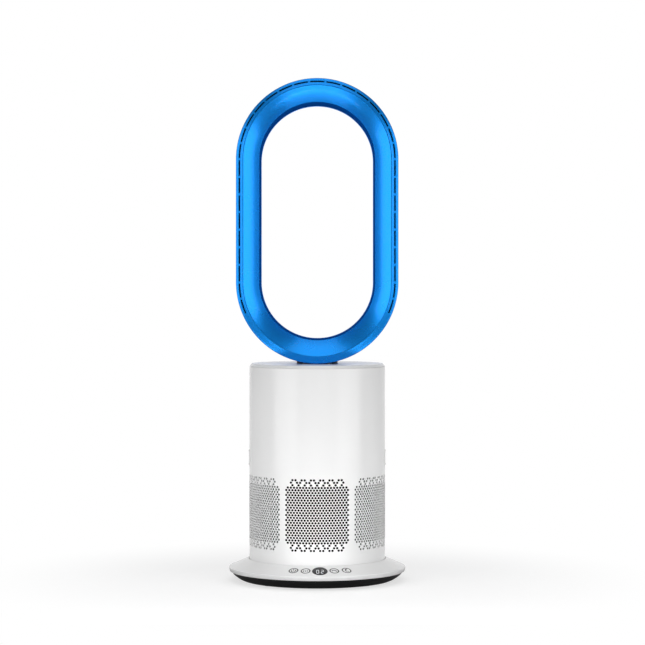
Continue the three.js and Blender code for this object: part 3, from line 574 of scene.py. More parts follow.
# Injection-moulded ABS from a polished mould: bright, clean white with long soft reflections.
WHITE_ABS = Finish(
    "gloss_white_abs", "#F1F1F1", "#EEEEEE", roughness=0.2, relief_mm=14, relief_high=0.003
)
# Semi-gloss black ABS: near black with a soft broad highlight along its round edge.
BLACK_ABS = Finish("semi_gloss_black_abs", "#101011", "#161617", roughness=0.38, relief_mm=1.2, ior=1.38)
# Polished smoked acrylic: almost black and mirror smooth.
SMOKED_ACRYLIC = Finish("smoked_acrylic", "#0B0C0F", "#101216", roughness=0.07, smudge=0.02, ior=1.49)
# ABS under metallic blue lacquer and clear coat: a deep blue that glows where it turns to a lamp. Real flakes
# are 0.03 mm, and are drawn coarser so that they show.
BLUE_LACQUER = FlakeLacquer(
    "metallic_blue_lacquer",
    "#0393FB",
    "#0499FD",
    roughness=0.27,
    smudge=0.02,
    drift_mm=90,
    relief_mm=12,
    relief_high=0.0006,
    metallic=0.78,
    ior=1.5,
    coat=0.15,
    flake_shade="#1FA5FF",
)
# A darker blue for the throat ring inside the loop, flat and matt with nearly no reflection.
DEEP_BLUE_LACQUER = FlakeLacquer(
    "deep_blue_lacquer",
    "#0152A8",
    "#014C9C",
    roughness=0.85,
    smudge=0.03,
    drift_mm=90,
    relief_mm=12,
    relief_high=0.003,
    ior=1.03,
    flake_shade="#0E63C0",
)
# Satin navy ABS: nearly black with a blue cast.
NAVY_ABS = Finish("satin_navy_abs", "#0B1A33", "#0E1F3B", roughness=0.42, relief_mm=0.8, relief_high=0.006)
# Natural grey moulding, unpolished: a dull even grey.
GREY_ABS = Finish("natural_grey_abs", "#4A4D52", "#53565B", roughness=0.55, relief_mm=0.7, relief_high=0.01)
# Moulded elastomer with a matt, faintly pitted skin.
RUBBER = Finish(
    "matt_elastomer", "#131313", "#1B1B1B", roughness=0.82, relief_mm=0.5, relief_high=0.02, ior=1.5
)
# Turned or pressed steel: a cool grey metal with fine, uneven marks.
STEEL = Finish(
    "turned_steel",
    "#9B9DA0",
    "#8A8C90",
    roughness=0.32,
    smudge=0.06,
    drift_mm=18,
    relief_mm=0.4,
    metallic=1.0,
    ior=1.5,
)
# Solder-masked glass laminate: glossy dark green.
LAMINATE = Finish("masked_laminate", "#14512F", "#1A5E38", roughness=0.3, relief_mm=0.6, relief_high=0.01)
# Matt black sheet behind the drum's holes and the loop's slots: painted shade that makes them read dark.
SHADE_SHEET = Finish(
    "painted_shade_sheet", "#040404", "#080808", roughness=0.9, relief_mm=1.0, relief_high=0.02, ior=1.2
)
# Pad-printed ink: flat dark grey.
GREY_INK = Finish("grey_pad_print", "#2E3032", "#36383A", roughness=0.5, relief_mm=0.4, relief_high=0.002)
# Lit display segments behind the acrylic, drawn as flat white ink.
WHITE_INK = Finish("white_segments", "#F4F6F8", "#EDEFF2", roughness=0.4, relief_mm=0.4, relief_high=0.002)


class Paints:
    """Every finish's material, made once."""

    def __init__(self) -> None:
        """Builds the materials."""
        self.white = WHITE_ABS.build()
        self.black = BLACK_ABS.build()
        self.smoked = SMOKED_ACRYLIC.build()
        self.blue = BLUE_LACQUER.build()
        self.deep_blue = DEEP_BLUE_LACQUER.build()
        self.navy = NAVY_ABS.build()
        self.grey = GREY_ABS.build()
        self.rubber = RUBBER.build()
        self.steel = STEEL.build()
        self.laminate = LAMINATE.build()
        self.shade_sheet = SHADE_SHEET.build()
        self.grey_ink = GREY_INK.build()
        self.white_ink = WHITE_INK.build()

    def for_slot(self, slot: Slot) -> bpy.types.Material:
        """The finish of a record slot."""
        return {
            Slot.WHITE: self.white,
            Slot.BLACK: self.black,
            Slot.SMOKED: self.smoked,
            Slot.BLUE: self.blue,
            Slot.DEEP_BLUE: self.deep_blue,
            Slot.NAVY: self.navy,
            Slot.GREY: self.grey,
            Slot.RUBBER: self.rubber,
            Slot.STEEL: self.steel,
            Slot.LAMINATE: self.laminate,
        }[slot]


# ---------------------------------------------------------------- base
def arc(cx: float, cy: float, radius: float, start: float, end: float, steps: int) -> np.ndarray:
    """An arc's points: the centre plus radius times (cos, sin) of equal steps between two angles."""
    a = np.radians(np.linspace(start, end, steps + 1))
    return np.stack([cx + radius * np.cos(a), cy + radius * np.sin(a)], -1)


def offset(outline: np.ndarray, distance: float) -> np.ndarray:
    """An open line moved to its left: each point goes the distance square to its neighbours' direction."""
    along = np.gradient(outline, axis=0)
    along /= np.linalg.norm(along, axis=1)[:, None]
    return outline + distance * np.stack([-along[:, 1], along[:, 0]], -1)


def lengths(outline: np.ndarray) -> np.ndarray:
    """The length along a line at each of its points."""
    return np.r_[0, np.cumsum(np.linalg.norm(np.diff(outline, axis=0), axis=1))]


@dataclass(frozen=True)
class Flange:
    """The sloping top of the base and the ways on to it. The turns are the keys' and the window's angles."""

    slope: float = 0.4366
    inner_r: float = 131.0
    inner_z: float = 41.8
    outer_r: float = 163.5
    key_ring_r: float = 147.5
    power_turn: float = -17.1
    breeze_turn: float = -8.2
    window_turn: float = 2.0
    swing_turn: float = 12.4
    timer_turn: float = 21.6

    @property
    def slant(self) -> float:
        """The share of a length up the slope that shows from above."""
        return float(np.cos(np.arctan(self.slope)))

    @property
    def key_turns(self) -> dict[str, float]:
        """Each key's angle."""
        return {
            "power": self.power_turn,
            "breeze": self.breeze_turn,
            "swing": self.swing_turn,
            "timer": self.timer_turn,
        }

    def height(self, reach: np.ndarray) -> np.ndarray:
        """The flange's height at a distance from the axis."""
        return self.inner_z - self.slope * (reach - self.inner_r)

    def laid(self, local: np.ndarray, degrees: float) -> np.ndarray:
        """Carries points laid out flat round a key's middle on to the flange.

        Local x goes round, y goes up the slope, and z stands upright from the flange.

        Args:
            local: points as (x, y, z).
            degrees: the key's angle from the front.

        Returns:
            The points in place.
        """
        x, y = local[:, 0], local[:, 1] * self.slant - self.key_ring_r
        reach = np.hypot(x, y)
        return around(reach, degrees + np.degrees(np.arctan2(x, -y)), self.height(reach) + local[:, 2])


@dataclass
class Base:
    """The white housing, its black skirt, the deck under the column and the power inlet."""

    paints: Paints
    flange: Flange
    wall: float = 3.0
    lip_round: float = 3.7
    lip_low: float = 18.6
    rim_tuck: float = 1.4
    rim_lean: float = 0.2
    rim_foot: float = 3.4
    rim_upright: float = 5.4
    rim_shoulder: float = 1.0
    rim_end: float = 1.2
    rim_radii: tuple[float, ...] = (0, 6.0, 2.0, 1.6, 5.0, 0, 0)
    slope_reach: float = 30.0
    slope_start: float = 1.3
    edge_in: float = 1.2
    edge_round: float = 1.4
    block_turns: tuple[float, ...] = (-22.0, -12.65, -4.0, 8.1, 17.0, 26.4)
    block_steps: tuple[int, ...] = (12, 12, 16, 12, 12)
    plain_steps: int = 208
    deck_top: float = 33.0
    deck_round: float = 0.4
    post_r: float = 11.0
    skirt_r: float = 162.2
    skirt_low: float = 1.5
    skirt_top: float = 18.3
    toe_r: float = 147.8
    toe_high: float = 2.7
    ledge_r: float = 139.0
    taper_in: float = 4.4
    taper_high: float = 9.6
    upright_from: float = 14.6
    skirt_radii: tuple[float, ...] = (0, 6.0, 30.0, 30.0, 7.0, 0, 0)
    inlet_z: float = 12.8
    inlet_r: float = 4.5
    inlet_long: float = 11.0
    inlet_sunk: float = 6.0
    bore_r: float = 2.9
    pin_r: float = 0.9
    pin_short: float = 1.0
    socket_floor: float = 2.0
    key_hole_r: float = 9.9
    window_hole_r: float = 14.55

    def build(self) -> None:
        """Makes every piece of the base."""
        self.build_housing()
        self.build_skirt()
        self.build_inlet()

    def round_hole(self, degrees: float, radius: float, start: float) -> Callable[[np.ndarray], np.ndarray]:
        """An outline that is round on the flange.

        A point of the block's edge is laid flat round the hole's middle, moved along its own direction to the
        radius, and laid back.

        Args:
            degrees: the hole's angle.
            radius: its radius on the slope.
            start: the layout's v where the flange's outer edge lies.

        Returns:
            The outline's function.
        """
        flange = self.flange

        def outline(edge: np.ndarray) -> np.ndarray:
            """The hole's points for the block's points."""
            reach = flange.outer_r - (edge[:, 1] - start) * flange.slant
            flat = around(reach, edge[:, 0] - degrees, 0 * reach)
            way = np.arctan2((flat[:, 1] + flange.key_ring_r) / flange.slant, flat[:, 0])
            x = radius * np.cos(way)
            y = radius * np.sin(way) * flange.slant - flange.key_ring_r
            back = start + (flange.outer_r - np.hypot(x, y)) / flange.slant
            return np.stack([degrees + np.degrees(np.arctan2(x, -y)), back], -1)

        return outline

    def rim(self, lip_r: float) -> np.ndarray:
        """The rim's outline: from its low edge up over an upright stretch and over the round edge.

        Args:
            lip_r: the rim's largest radius.

        Returns:
            The points as (radius, height), upwards.
        """
        f, low = self.flange, self.lip_low
        edge_z = float(f.height(f.outer_r))
        corners = [
            (lip_r - self.rim_tuck, low),
            (lip_r - self.rim_lean, low + self.rim_foot),
            (lip_r, low + self.rim_upright),
            (lip_r, edge_z - self.rim_shoulder),
            (f.outer_r, edge_z),
            (f.outer_r - self.slope_reach, edge_z + self.slope_reach * f.slope),
            (f.outer_r - self.slope_reach, low),
        ]
        outline = rounded(corners, self.rim_radii, 8)
        r, z = outline.T
        kept = outline[(r > f.outer_r - self.rim_end) & (z < edge_z + 2 * self.rim_shoulder)]
        turn = np.arctan2(kept[:, 1] - low - self.wall, kept[:, 0] - f.outer_r + 2 * self.wall)
        return kept[np.argsort(turn)]

    def build_housing(self) -> None:
        """The sloping shell with its rounded rim and key holes, and the deck that the column stands on.

        The profile climbs from the rim's low edge, over two arcs on to the slope, up to the inner edge and
        down to the deck. Its knots are lengths along it.
        """
        f = self.flange
        inner_edge = f.inner_r - self.edge_in
        lip_r = f.outer_r + self.lip_round
        rim = self.rim(lip_r)
        slope_r = np.linspace(f.outer_r - self.slope_start, inner_edge + self.edge_round, 14)
        slope = np.stack([slope_r, f.height(slope_r)], -1)
        top = float(f.height(inner_edge))
        top_round = np.array([[inner_edge + 0.8, top - 0.37], [inner_edge + 0.25, top - 0.6]])
        riser = np.stack([np.full(4, inner_edge), np.linspace(top - self.edge_round, self.deck_top, 4)], -1)
        outer = np.vstack([rim, slope, top_round, riser])
        thick = self.wall / f.slant
        inner_r = np.clip(outer[:, 0], inner_edge + self.wall, lip_r - 2 * self.wall)
        inner_z = np.minimum(outer[:, 1], f.height(inner_r)) - thick
        count = len(rim)
        inner_z[:count] = np.linspace(self.lip_low, inner_z[count], count)
        inner_z[-len(riser) :] = np.linspace(inner_z[-len(riser) - 1], self.deck_top, len(riser))
        knots = lengths(outer)
        start = knots[count] - self.slope_start / f.slant
        last = count + len(slope_r) - 1
        shell = TurnedWall(knots, outer, np.stack([inner_r, inner_z], -1))
        turns = self.block_turns
        blocks = [*zip(turns, turns[1:], self.block_steps), (turns[-1], turns[0] + 360, self.plain_steps)]
        us = np.concatenate([np.linspace(a, b, n, endpoint=False) for a, b, n in blocks])
        us = np.r_[us, turns[0] + 360]
        holes = sorted([(turn, self.key_hole_r) for turn in f.key_turns.values()])
        holes.insert(2, (f.window_turn, self.window_hole_r))
        edges = np.r_[0, np.cumsum(self.block_steps)]
        openings = [
            Opening((edges[i], edges[i + 1]), (count, last), self.round_hole(turn, radius, start))
            for i, (turn, radius) in enumerate(holes)
        ]
        low, far = self.deck_top - self.wall, f.inner_r - self.edge_in + self.wall + 1
        deck = [(self.post_r, low), (far, low), (far, self.deck_top), (self.post_r, self.deck_top)]
        housing = shell.solid(us, knots, openings) + revolve(rounded(deck, self.deck_round, 2))
        place(housing, "base_housing", Body.BASE, Slot.WHITE, self.paints.white, "base_shell")

    def build_skirt(self) -> None:
        """The black skirt: it tapers out from the flat ledge under the base to an upright wall.

        The ledge meets the taper, and the taper the wall, in wide arcs. The inner face stands a wall's
        thickness inside, square to the profile.
        """
        z, r = self.skirt_low, self.skirt_r
        corners = [
            (self.ledge_r, z),
            (self.ledge_r + 2, z),
            (self.toe_r, z + self.toe_high),
            (r - self.taper_in, z + self.taper_high),
            (r, z + self.upright_from),
            (r, self.skirt_top),
            (self.ledge_r, self.skirt_top),
        ]
        outer = rounded(corners, self.skirt_radii, 8)[:-1]
        inner = offset(outer, self.wall - GAP)
        inner[:, 1] = np.minimum(inner[:, 1], self.skirt_top)
        knots = lengths(outer)
        rising = outer[:, 1] > z + 0.4
        z_rising, knots_rising = outer[rising, 1], knots[rising]
        hole_r = self.inlet_r + GAP
        reach = hole_r + 1.6
        low, high = np.interp([self.inlet_z - reach, self.skirt_top - 0.25], z_rising, knots_rising)
        vs = np.r_[knots[knots < low], np.linspace(low, high, 11), knots[-1]]
        vs = np.unique(np.round(vs, 6))
        block = int(np.searchsorted(vs, low - WELD))
        half, plain, across = 3.2, 200, 12
        round_turns = np.linspace(half - 180, 180 - half, plain + 1)
        us = np.r_[round_turns, np.linspace(180 - half, 180 + half, across + 1)[1:]]

        def outline(edge: np.ndarray) -> np.ndarray:
            """Round seen from behind: the hole's points as an angle and a length up the profile."""
            aside = -r * np.sin(np.radians(edge[:, 0]))
            up = np.interp(edge[:, 1], knots, outer[:, 1]) - self.inlet_z
            way = np.arctan2(up, aside)
            turned = 180 + np.degrees(np.arcsin(hole_r * np.cos(way) / r))
            height = self.inlet_z + hole_r * np.sin(way)
            return np.stack([turned, np.interp(height, z_rising, knots_rising)], -1)

        opening = Opening((plain, plain + across), (block, block + 10), outline, 2)
        skirt = TurnedWall(knots, outer, inner).solid(us, vs, [opening])
        place(skirt, "black_skirt", Body.BASE, Slot.BLACK, self.paints.black, "base_skirt")

    def build_inlet(self) -> None:
        """The round socket at the rear: a barrel with a rounded mouth, a bore and the pin inside it."""
        deep, floor, tip = self.inlet_long, self.socket_floor, self.inlet_long - self.pin_short
        outline = [
            (0, 0),
            (self.inlet_r, 0),
            (self.inlet_r, deep),
            (self.bore_r, deep),
            (self.bore_r, floor),
            (self.pin_r, floor),
            (self.pin_r, tip),
            (0, tip),
        ]
        barrel = revolve(rounded(outline, [0, 0.3, 0.5, 0.4, 0, 0, 0.5, 0], 3), 32)
        back = self.skirt_r - self.inlet_sunk - deep

        def turned(p: np.ndarray) -> np.ndarray:
            """Lays the barrel down along +Y."""
            return np.stack([p[:, 0], back + p[:, 2], self.inlet_z - p[:, 1]], -1)

        place(barrel.moved(turned), "inlet_socket", Body.BASE, Slot.BLACK, self.paints.black, "power_inlet")


# ---------------------------------------------------------------- controls
def joined(surfaces: Sequence[Surface]) -> Surface:
    """Several surfaces as one."""
    made = surfaces[0]
    for surface in surfaces[1:]:
        made = made + surface
    return made


@dataclass
class Controls:
    """The four push keys with their printed signs, and the display."""

    paints: Paints
    flange: Flange
    key_r: float = 9.5
    key_deep: float = 5.0
    window_r: float = 14.25
    window_deep: float = 3.0
    window_dome: float = 0.35
    face_in: float = 0.8
    face_round: float = 0.45
    ring_r: float = 7.9
    ring_wide: float = 2.1
    print_high: float = 0.03
    print_lift: float = 0.02
    oval_r: float = 10.9
    oval_high: float = 0.77
    oval_wide: float = 0.4
    digit_half: tuple[float, float] = (2.0, 5.9)
    segment_gap: float = 0.4
    segment_wide: float = 1.3
    digit_low: float = 3.0
    left_digit: float = -4.0
    right_digit: float = 4.4

    def disc(self, radius: float, deep: float, dome: float) -> Surface:
        """A flat-bottomed disc with a rounded rim and a face that rises to its middle.

        The face's height is the dome times one less the square of the share of the way out.

        Args:
            radius: the disc's radius.
            deep: its depth.
            dome: how far the face's middle stands over the rim.

        Returns:
            The surface, with its rim at height zero.
        """
        face_r = radius - self.face_in
        r = np.linspace(face_r, 0, 9)
        face = np.stack([r, dome * (1 - (r / face_r) ** 2)], -1)
        corners = [(0, -deep), (radius, -deep), (radius, 0), (face_r, 0)]
        rim = rounded(corners, [0, 0, self.face_round, 0], 4)
        return revolve(np.vstack([rim, face[1:]]), 72)

    def stroke(self, middle: np.ndarray, width: float) -> Surface:
        """A printed stroke: the line's points pushed half the width to each side, and a film thick.

        Args:
            middle: the line's points.
            width: the stroke's width.

        Returns:
            The closed surface, laid out flat.
        """
        sides = [offset(middle, width / 2), offset(middle, -width / 2)]
        flat = np.stack(sides, 1).reshape(-1, 2)
        top = np.column_stack([flat, np.full(len(flat), self.print_high)])
        low = np.column_stack([flat, np.full(len(flat), -self.print_high)])
        return walled(top, low, [grid_quads(len(middle), 2)[:, ::-1]])

    def bar(self, start: tuple[float, float], end: tuple[float, float], width: float) -> Surface:
        """A straight stroke."""
        return self.stroke(np.linspace(start, end, 3), width)

    def signs(self) -> dict[str, list[Surface]]:
        """Each key's printed sign as strokes laid out flat, its middle at the origin.

        Returns:
            The strokes of each key's sign.
        """
        power = [self.stroke(arc(0, -0.4, 4.0, 125, 415, 30), 1.7), self.bar((0, 0.4), (0, 5.2), 1.6)]
        breeze = [self.bar((x - 0.8, -2.6), (x + 0.8, 2.4), 1.4) for x in (-3.6, 0.0, 3.6)]
        swing = [self.stroke(arc(0, -2.6, 4.4, 10, 170, 20), 2.2)]
        moon = self.stroke(arc(2.2, 1.0, 4.4, 108, 262, 24), 2.3)
        timer = [moon, self.bar((1.6, -2.6), (4.6, -2.6), 1.4)]
        return {"power": power, "breeze": breeze, "swing": swing, "timer": timer}

    def build(self) -> None:
        """Makes the keys, their signs and the display."""
        for name, strokes in self.signs().items():
            body = Body(f"{name}_key")
            turn = self.flange.key_turns[name]
            cap = self.disc(self.key_r, self.key_deep, 0.0).moved(lambda p: self.flange.laid(p, turn))
            place(cap, f"{name}_key_cap", body, Slot.WHITE, self.paints.white, f"{name}_key")
            ring = self.stroke(arc(0, 0, self.ring_r, 0, 360, 64), self.ring_wide)
            sign = joined([ring, *strokes])
            sign = sign.moved(lambda p: self.flange.laid(self.upright(p, turn), turn))
            place(sign, f"{name}_sign", body, Slot.GREY, self.paints.grey_ink)
        self.build_display()

    def digit(self, lit: str, across: float) -> Surface:
        """A seven-segment digit as strokes.

        Args:
            lit: the lit segments, lettered clockwise from the top with g in the middle.
            across: how far right of the window's middle the digit stands.

        Returns:
            The strokes as one surface, laid out flat.
        """
        w, h = self.digit_half
        gap = self.segment_gap
        ends = {
            "a": ((-w + gap, h), (w - gap, h)),
            "b": ((w, h - gap), (w, gap)),
            "c": ((w, -gap), (w, -h + gap)),
            "d": ((-w + gap, -h), (w - gap, -h)),
            "e": ((-w, -gap), (-w, -h + gap)),
            "f": ((-w, h - gap), (-w, gap)),
            "g": ((-w + gap, 0), (w - gap, 0)),
        }
        shift = np.array([across, -self.digit_low])
        return joined([self.bar(*(tuple(shift + end) for end in ends[s]), self.segment_wide) for s in lit])

    def upright(self, local: np.ndarray, degrees: float) -> np.ndarray:
        """Turns a flat sign back by its key's angle, so that every sign stands upright seen from the front.

        Args:
            local: the sign's points as (x, y, z).
            degrees: the key's angle.

        Returns:
            The turned points.
        """
        a = np.radians(degrees)
        x, y = local[:, 0], local[:, 1]
        return np.stack([x * np.cos(a) + y * np.sin(a), y * np.cos(a) - x * np.sin(a), local[:, 2]], -1)

    def build_display(self) -> None:
        """The smoked window, the thin ring on its face and the two lit digits."""
        turn, base = self.flange.window_turn, Body.BASE
        window = self.disc(self.window_r, self.window_deep, self.window_dome)
        window = window.moved(lambda p: self.flange.laid(p, turn))
        place(window, "display_lens", base, Slot.SMOKED, self.paints.smoked, "display_window")

        def on_dome(p: np.ndarray) -> np.ndarray:
            """Lifts print on to the window's slightly domed face."""
            reach = np.hypot(p[:, 0], p[:, 1]) / (self.window_r - self.face_in)
            lift = self.window_dome * (1 - reach**2) + self.print_lift
            return self.flange.laid(p + np.outer(lift, [0, 0, 1]), turn)

        ring = self.stroke(arc(0, 0, self.oval_r, 0, 360, 72) * [1, self.oval_high], self.oval_wide)
        place(ring.moved(on_dome), "display_ring", base, Slot.GREY, self.paints.grey_ink)
        digits = self.digit("abcdef", self.left_digit) + self.digit("abged", self.right_digit)
        place(digits.moved(on_dome), "display_digits", base, Slot.WHITE, self.paints.white_ink)


# ---------------------------------------------------------------- column
@dataclass
class Column:
    """The white column: its perforated drum, plain upper shell, cap and release buttons."""

    paints: Paints
    radius: float = 128.8
    wall: float = 3.0
    low: float = 38.0
    seam: float = 207.0
    top: float = 411.0
    half_pitch: float = 2.85
    row_pitch: float = 4.64
    field_low: float = 69.2
    rows: int = 29
    columns: int = 20
    hole_r: float = 2.27
    drum_wall: float = 1.6
    fields: int = 6
    field_gap: float = 1.2
    # The shade screen is a painted-shade sheet that darkens the holes.
    shade_screen_thick: float = 0.6
    shade_screen_past: float = 8.0
    shade_screen_below_seam: float = 6.0
    shell_chamfer: float = 0.35
    cap_chamfer: tuple[float, float] = (4.5, 5.6)
    cap_clear: float = 0.9
    cap_skirt: float = 8.0
    collar_r: float = 39.5
    collar_low: float = 373.0
    button_z: float = 232.6
    button_half: tuple[float, float] = (18.0, 14.25)
    button_round: float = 6.0
    button_clear: float = 0.5
    button_back: float = 10.3
    button_rows: float = 20.0
    top_row: float = 0.5
    button_sides: int = 64

    @property
    def shell_top(self) -> float:
        """The upper edge of the shell, a gap below the cap."""
        return self.top - self.cap_chamfer[1] - GAP

    def build(self) -> None:
        """Makes every piece of the column."""
        self.build_drum()
        self.build_shade_screen()
        self.build_upper()
        self.build_cap()
        self.build_buttons()

    def hole_rows(self) -> tuple[np.ndarray, np.ndarray]:
        """The holes' places as (position, row), and the other cells' places.

        Positions count half pitches from the field's middle, even in even rows and odd in odd ones. The three
        rows at each end leave some positions bare, so that the field fades out.

        Returns:
            The holes' and the bare cells' places.
        """
        ends = [{2, 4, 8, 10, 14, 16}, {1, 5, 7, 11, 13, 17}, {0, 4, 8, 12, 16}]
        position, row = np.meshgrid(np.arange(-self.columns, self.columns + 1), np.arange(self.rows))
        used = (position + row) % 2 == 0
        position, row = position[used], row[used]
        from_end = np.minimum(row, self.rows - 1 - row)
        holed = np.ones(len(row), bool)
        for i, kept in enumerate(ends):
            holed[from_end == i] = np.isin(np.abs(position[from_end == i]), list(kept))
        places = np.stack([position, row], -1)
        return places[holed], places[~holed]

    def hexagon(self) -> tuple[np.ndarray, np.ndarray]:
        """A cell's outline of twelve points, and the right half of it of eight.

        The cell is two half pitches across. Its upright sides end where the edges of the next rows' cells
        meet them, and each slanted side has a point in its middle.

        Returns:
            The outline round the cell's middle, and the half cell's outline, which starts on the middle line.
        """
        p, side, apex, mid = self.half_pitch, *self.cell_heights()
        whole = np.array(
            [
                (1, 0), (1, side), (0.5, mid), (0, apex), (-0.5, mid), (-1, side),
                (-1, 0), (-1, -side), (-0.5, -mid), (0, -apex), (0.5, -mid), (1, -side),
            ]
        )  # fmt: skip
        half = np.array(
            [(0, -apex), (0, 0), (0, apex), (-0.5, mid), (-1, side), (-1, 0), (-1, -side), (-0.5, -mid)]
        )
        return whole * [p, 1], half * [p, 1]

    def cell_heights(self) -> tuple[float, float, float]:
        """How high a cell's side, its apex and the point between them stand over its middle.

        The side ends where lines square to the way to the next row's middle cross the cell's edge: at
        (pitch squared + row squared) / (2 row) less pitch squared / row. The apex is the row's height less
        that.

        Returns:
            The three heights.
        """
        p, h = self.half_pitch, self.row_pitch
        side = (p * p + h * h) / (2 * h) - p * p / h
        apex = h - side
        return side, apex, (side + apex) / 2

    def sector(self) -> tuple[np.ndarray, list[np.ndarray], float]:
        """One sixth of the drum, laid out as (angle, height) round its own middle.

        The field is a honeycomb. A holed cell is a ring of quads between its outline and a circle, a bare
        one is a single face, and half cells close the field's sides. Straight bands and strips fill the
        rest.

        Returns:
            The points, the faces and the angle where the field ends.
        """
        p, h = self.half_pitch, self.row_pitch
        side, apex, mid = self.cell_heights()
        hexagon, half = self.hexagon()
        turn = np.radians(np.arange(12) * 30)
        circle = self.hole_r * np.stack([np.cos(turn), np.sin(turn)], -1)
        scale = np.array([p, h])
        zero = np.array([0, self.field_low])
        holed, bare = self.hole_rows()
        points, faces, count = [], [], 0

        def put(flat: np.ndarray, shapes: list[np.ndarray]) -> None:
            """Adds points in millimetres across and up, and their faces."""
            nonlocal count
            points.append(flat.reshape(-1, 2))
            faces.extend(f + count for f in shapes)
            count += len(points[-1])

        middles = (holed * scale + zero)[:, None]
        rings = np.stack([middles + circle, middles + hexagon], 1)
        one = grid_quads(2, 12, close_columns=True)
        put(rings, [(one[None] + 24 * np.arange(len(holed))[:, None, None]).reshape(-1, 4)])
        put((bare * scale + zero)[:, None] + hexagon, [np.arange(12 * len(bare)).reshape(-1, 12)])
        odd = np.arange(1, self.rows, 2)
        edge = self.columns + 1
        for sign in (1, -1):
            middles = np.stack([np.full(len(odd), sign * edge), odd], -1) * scale + zero
            put(middles[:, None] + half * sign, [np.arange(8 * len(odd)).reshape(-1, 8)])
        steps = np.arange(-2 * edge, 2 * edge + 1)
        across = steps * p / 2
        zigzag = np.where(steps % 2, mid, np.where((steps // 2) % 2, side, apex))
        last_z = self.field_low + (self.rows - 1) * h
        low_z, high_z = self.field_low - apex - self.field_gap, last_z + apex + self.field_gap
        for heights in ((last_z + zigzag, high_z), (low_z, self.field_low - zigzag)):
            lines = [np.stack([across, z + 0 * across], -1) for z in heights]
            put(np.stack(lines, 1), [grid_quads(len(steps), 2)])
        flat = np.vstack(points)
        angles = np.degrees(np.arcsin(flat[:, 0] / self.radius))
        edge_angle = float(np.degrees(np.arcsin(edge * p / self.radius)))
        placed = [np.stack([angles, flat[:, 1]], -1)]
        even = np.arange(0, self.rows, 2) * h + self.field_low
        heights = np.sort(np.r_[low_z, even - side, even, even + side, odd * h + self.field_low, high_z])
        gap = np.linspace(edge_angle, 180 / self.fields, 4)
        field_angles = np.degrees(np.arcsin(across / self.radius))
        whole = np.r_[-gap[:0:-1], field_angles, gap[1:]]
        for us, vs in (
            (gap, heights),
            (-gap[::-1], heights),
            (whole, np.array([high_z, self.seam])),
            (whole, np.array([self.low, 0.5 * (self.low + low_z), low_z])),
        ):
            uv, cells = layout(us, vs)
            faces.extend(f + count for f in cells)
            placed.append(uv)
            count += len(uv)
        return np.vstack(placed), faces, edge_angle

    def build_drum(self) -> None:
        """The perforated lower shell in two halves, each of three sectors.

        The holes' walls run parallel within a field, as if drawn from one side: the inner point keeps the
        outer point's distance from the field's middle line. Between fields the inner angle runs evenly.
        """
        uv, faces, edge = self.sector()
        inner_r = self.radius - self.drum_wall
        size = np.abs(uv[:, 0])
        held = np.degrees(np.arcsin(self.radius * np.sin(np.radians(np.minimum(size, edge))) / inner_r))
        last = float(held.max())
        share = (np.maximum(size, edge) - edge) / (180 / self.fields - edge)
        inner_angle = np.sign(uv[:, 0]) * (held + share * (180 / self.fields - last))
        for name, middles in (("front", (-60, 0, 60)), ("rear", (120, 180, 240))):
            outer = np.vstack([around(self.radius, uv[:, 0] + m, uv[:, 1]) for m in middles])
            inner = np.vstack([around(inner_r, inner_angle + m, uv[:, 1]) for m in middles])
            every = [f + i * len(uv) for i in range(len(middles)) for f in faces]
            drum = walled(outer, inner, every)
            place(drum, f"intake_drum_{name}", Body.COLUMN, Slot.WHITE, self.paints.white, "body_shell")

    def build_shade_screen(self) -> None:
        """A thin matt black sheet behind the drum's holes: painted shade that makes them read dark."""
        far = self.radius - self.drum_wall - GAP
        near = far - self.shade_screen_thick
        low, high = self.field_low - self.shade_screen_past, self.seam - self.shade_screen_below_seam
        screen = revolve(np.array([(near, low), (far, low), (far, high), (near, high)]), 180)
        place(screen, "painted_shade_screen", Body.COLUMN, Slot.BLACK, self.paints.shade_sheet)

    def button_outline(self, middle: float) -> Callable[[np.ndarray], np.ndarray]:
        """The window round a release button: the block's edge drawn in to a rounded rectangle.

        Args:
            middle: the button's angle.

        Returns:
            The outline's function.
        """
        half = np.array(self.button_half) + self.button_clear
        corner = self.button_round + self.button_clear

        def outline(edge: np.ndarray) -> np.ndarray:
            """The window's points for the block's points."""
            across = self.radius * np.sin(np.radians(edge[:, 0] - middle))
            flat = np.stack([across, edge[:, 1] - self.button_z], -1)
            flat *= half / np.abs(flat).max(0)
            x, z = round_off(flat, tuple(half), corner).T
            return np.stack([middle + np.degrees(np.arcsin(x / self.radius)), self.button_z + z], -1)

        return outline

    def build_upper(self) -> None:
        """The plain upper shell with a window at each side for its release button."""
        us = np.linspace(0, 360, 241)
        rows = self.button_z + np.linspace(-self.button_rows, self.button_rows, 13)
        upper_rows = np.linspace(rows[-1], self.shell_top - self.top_row, 8)[1:]
        vs = np.r_[self.seam, rows, upper_rows, self.shell_top]
        openings = [
            Opening((i - 8, i + 8), (1, 13), self.button_outline(degrees))
            for i, degrees in ((60, 90.0), (180, 270.0))
        ]
        r = np.full(len(vs), self.radius)
        r[-1] -= self.shell_chamfer
        outer = np.stack([r, vs], -1)
        inner = np.stack([np.full(len(vs), self.radius - self.wall), vs], -1)
        shell = TurnedWall(vs, outer, inner).solid(us, vs, openings)
        place(shell, "column_shell", Body.COLUMN, Slot.WHITE, self.paints.white, "body_shell")

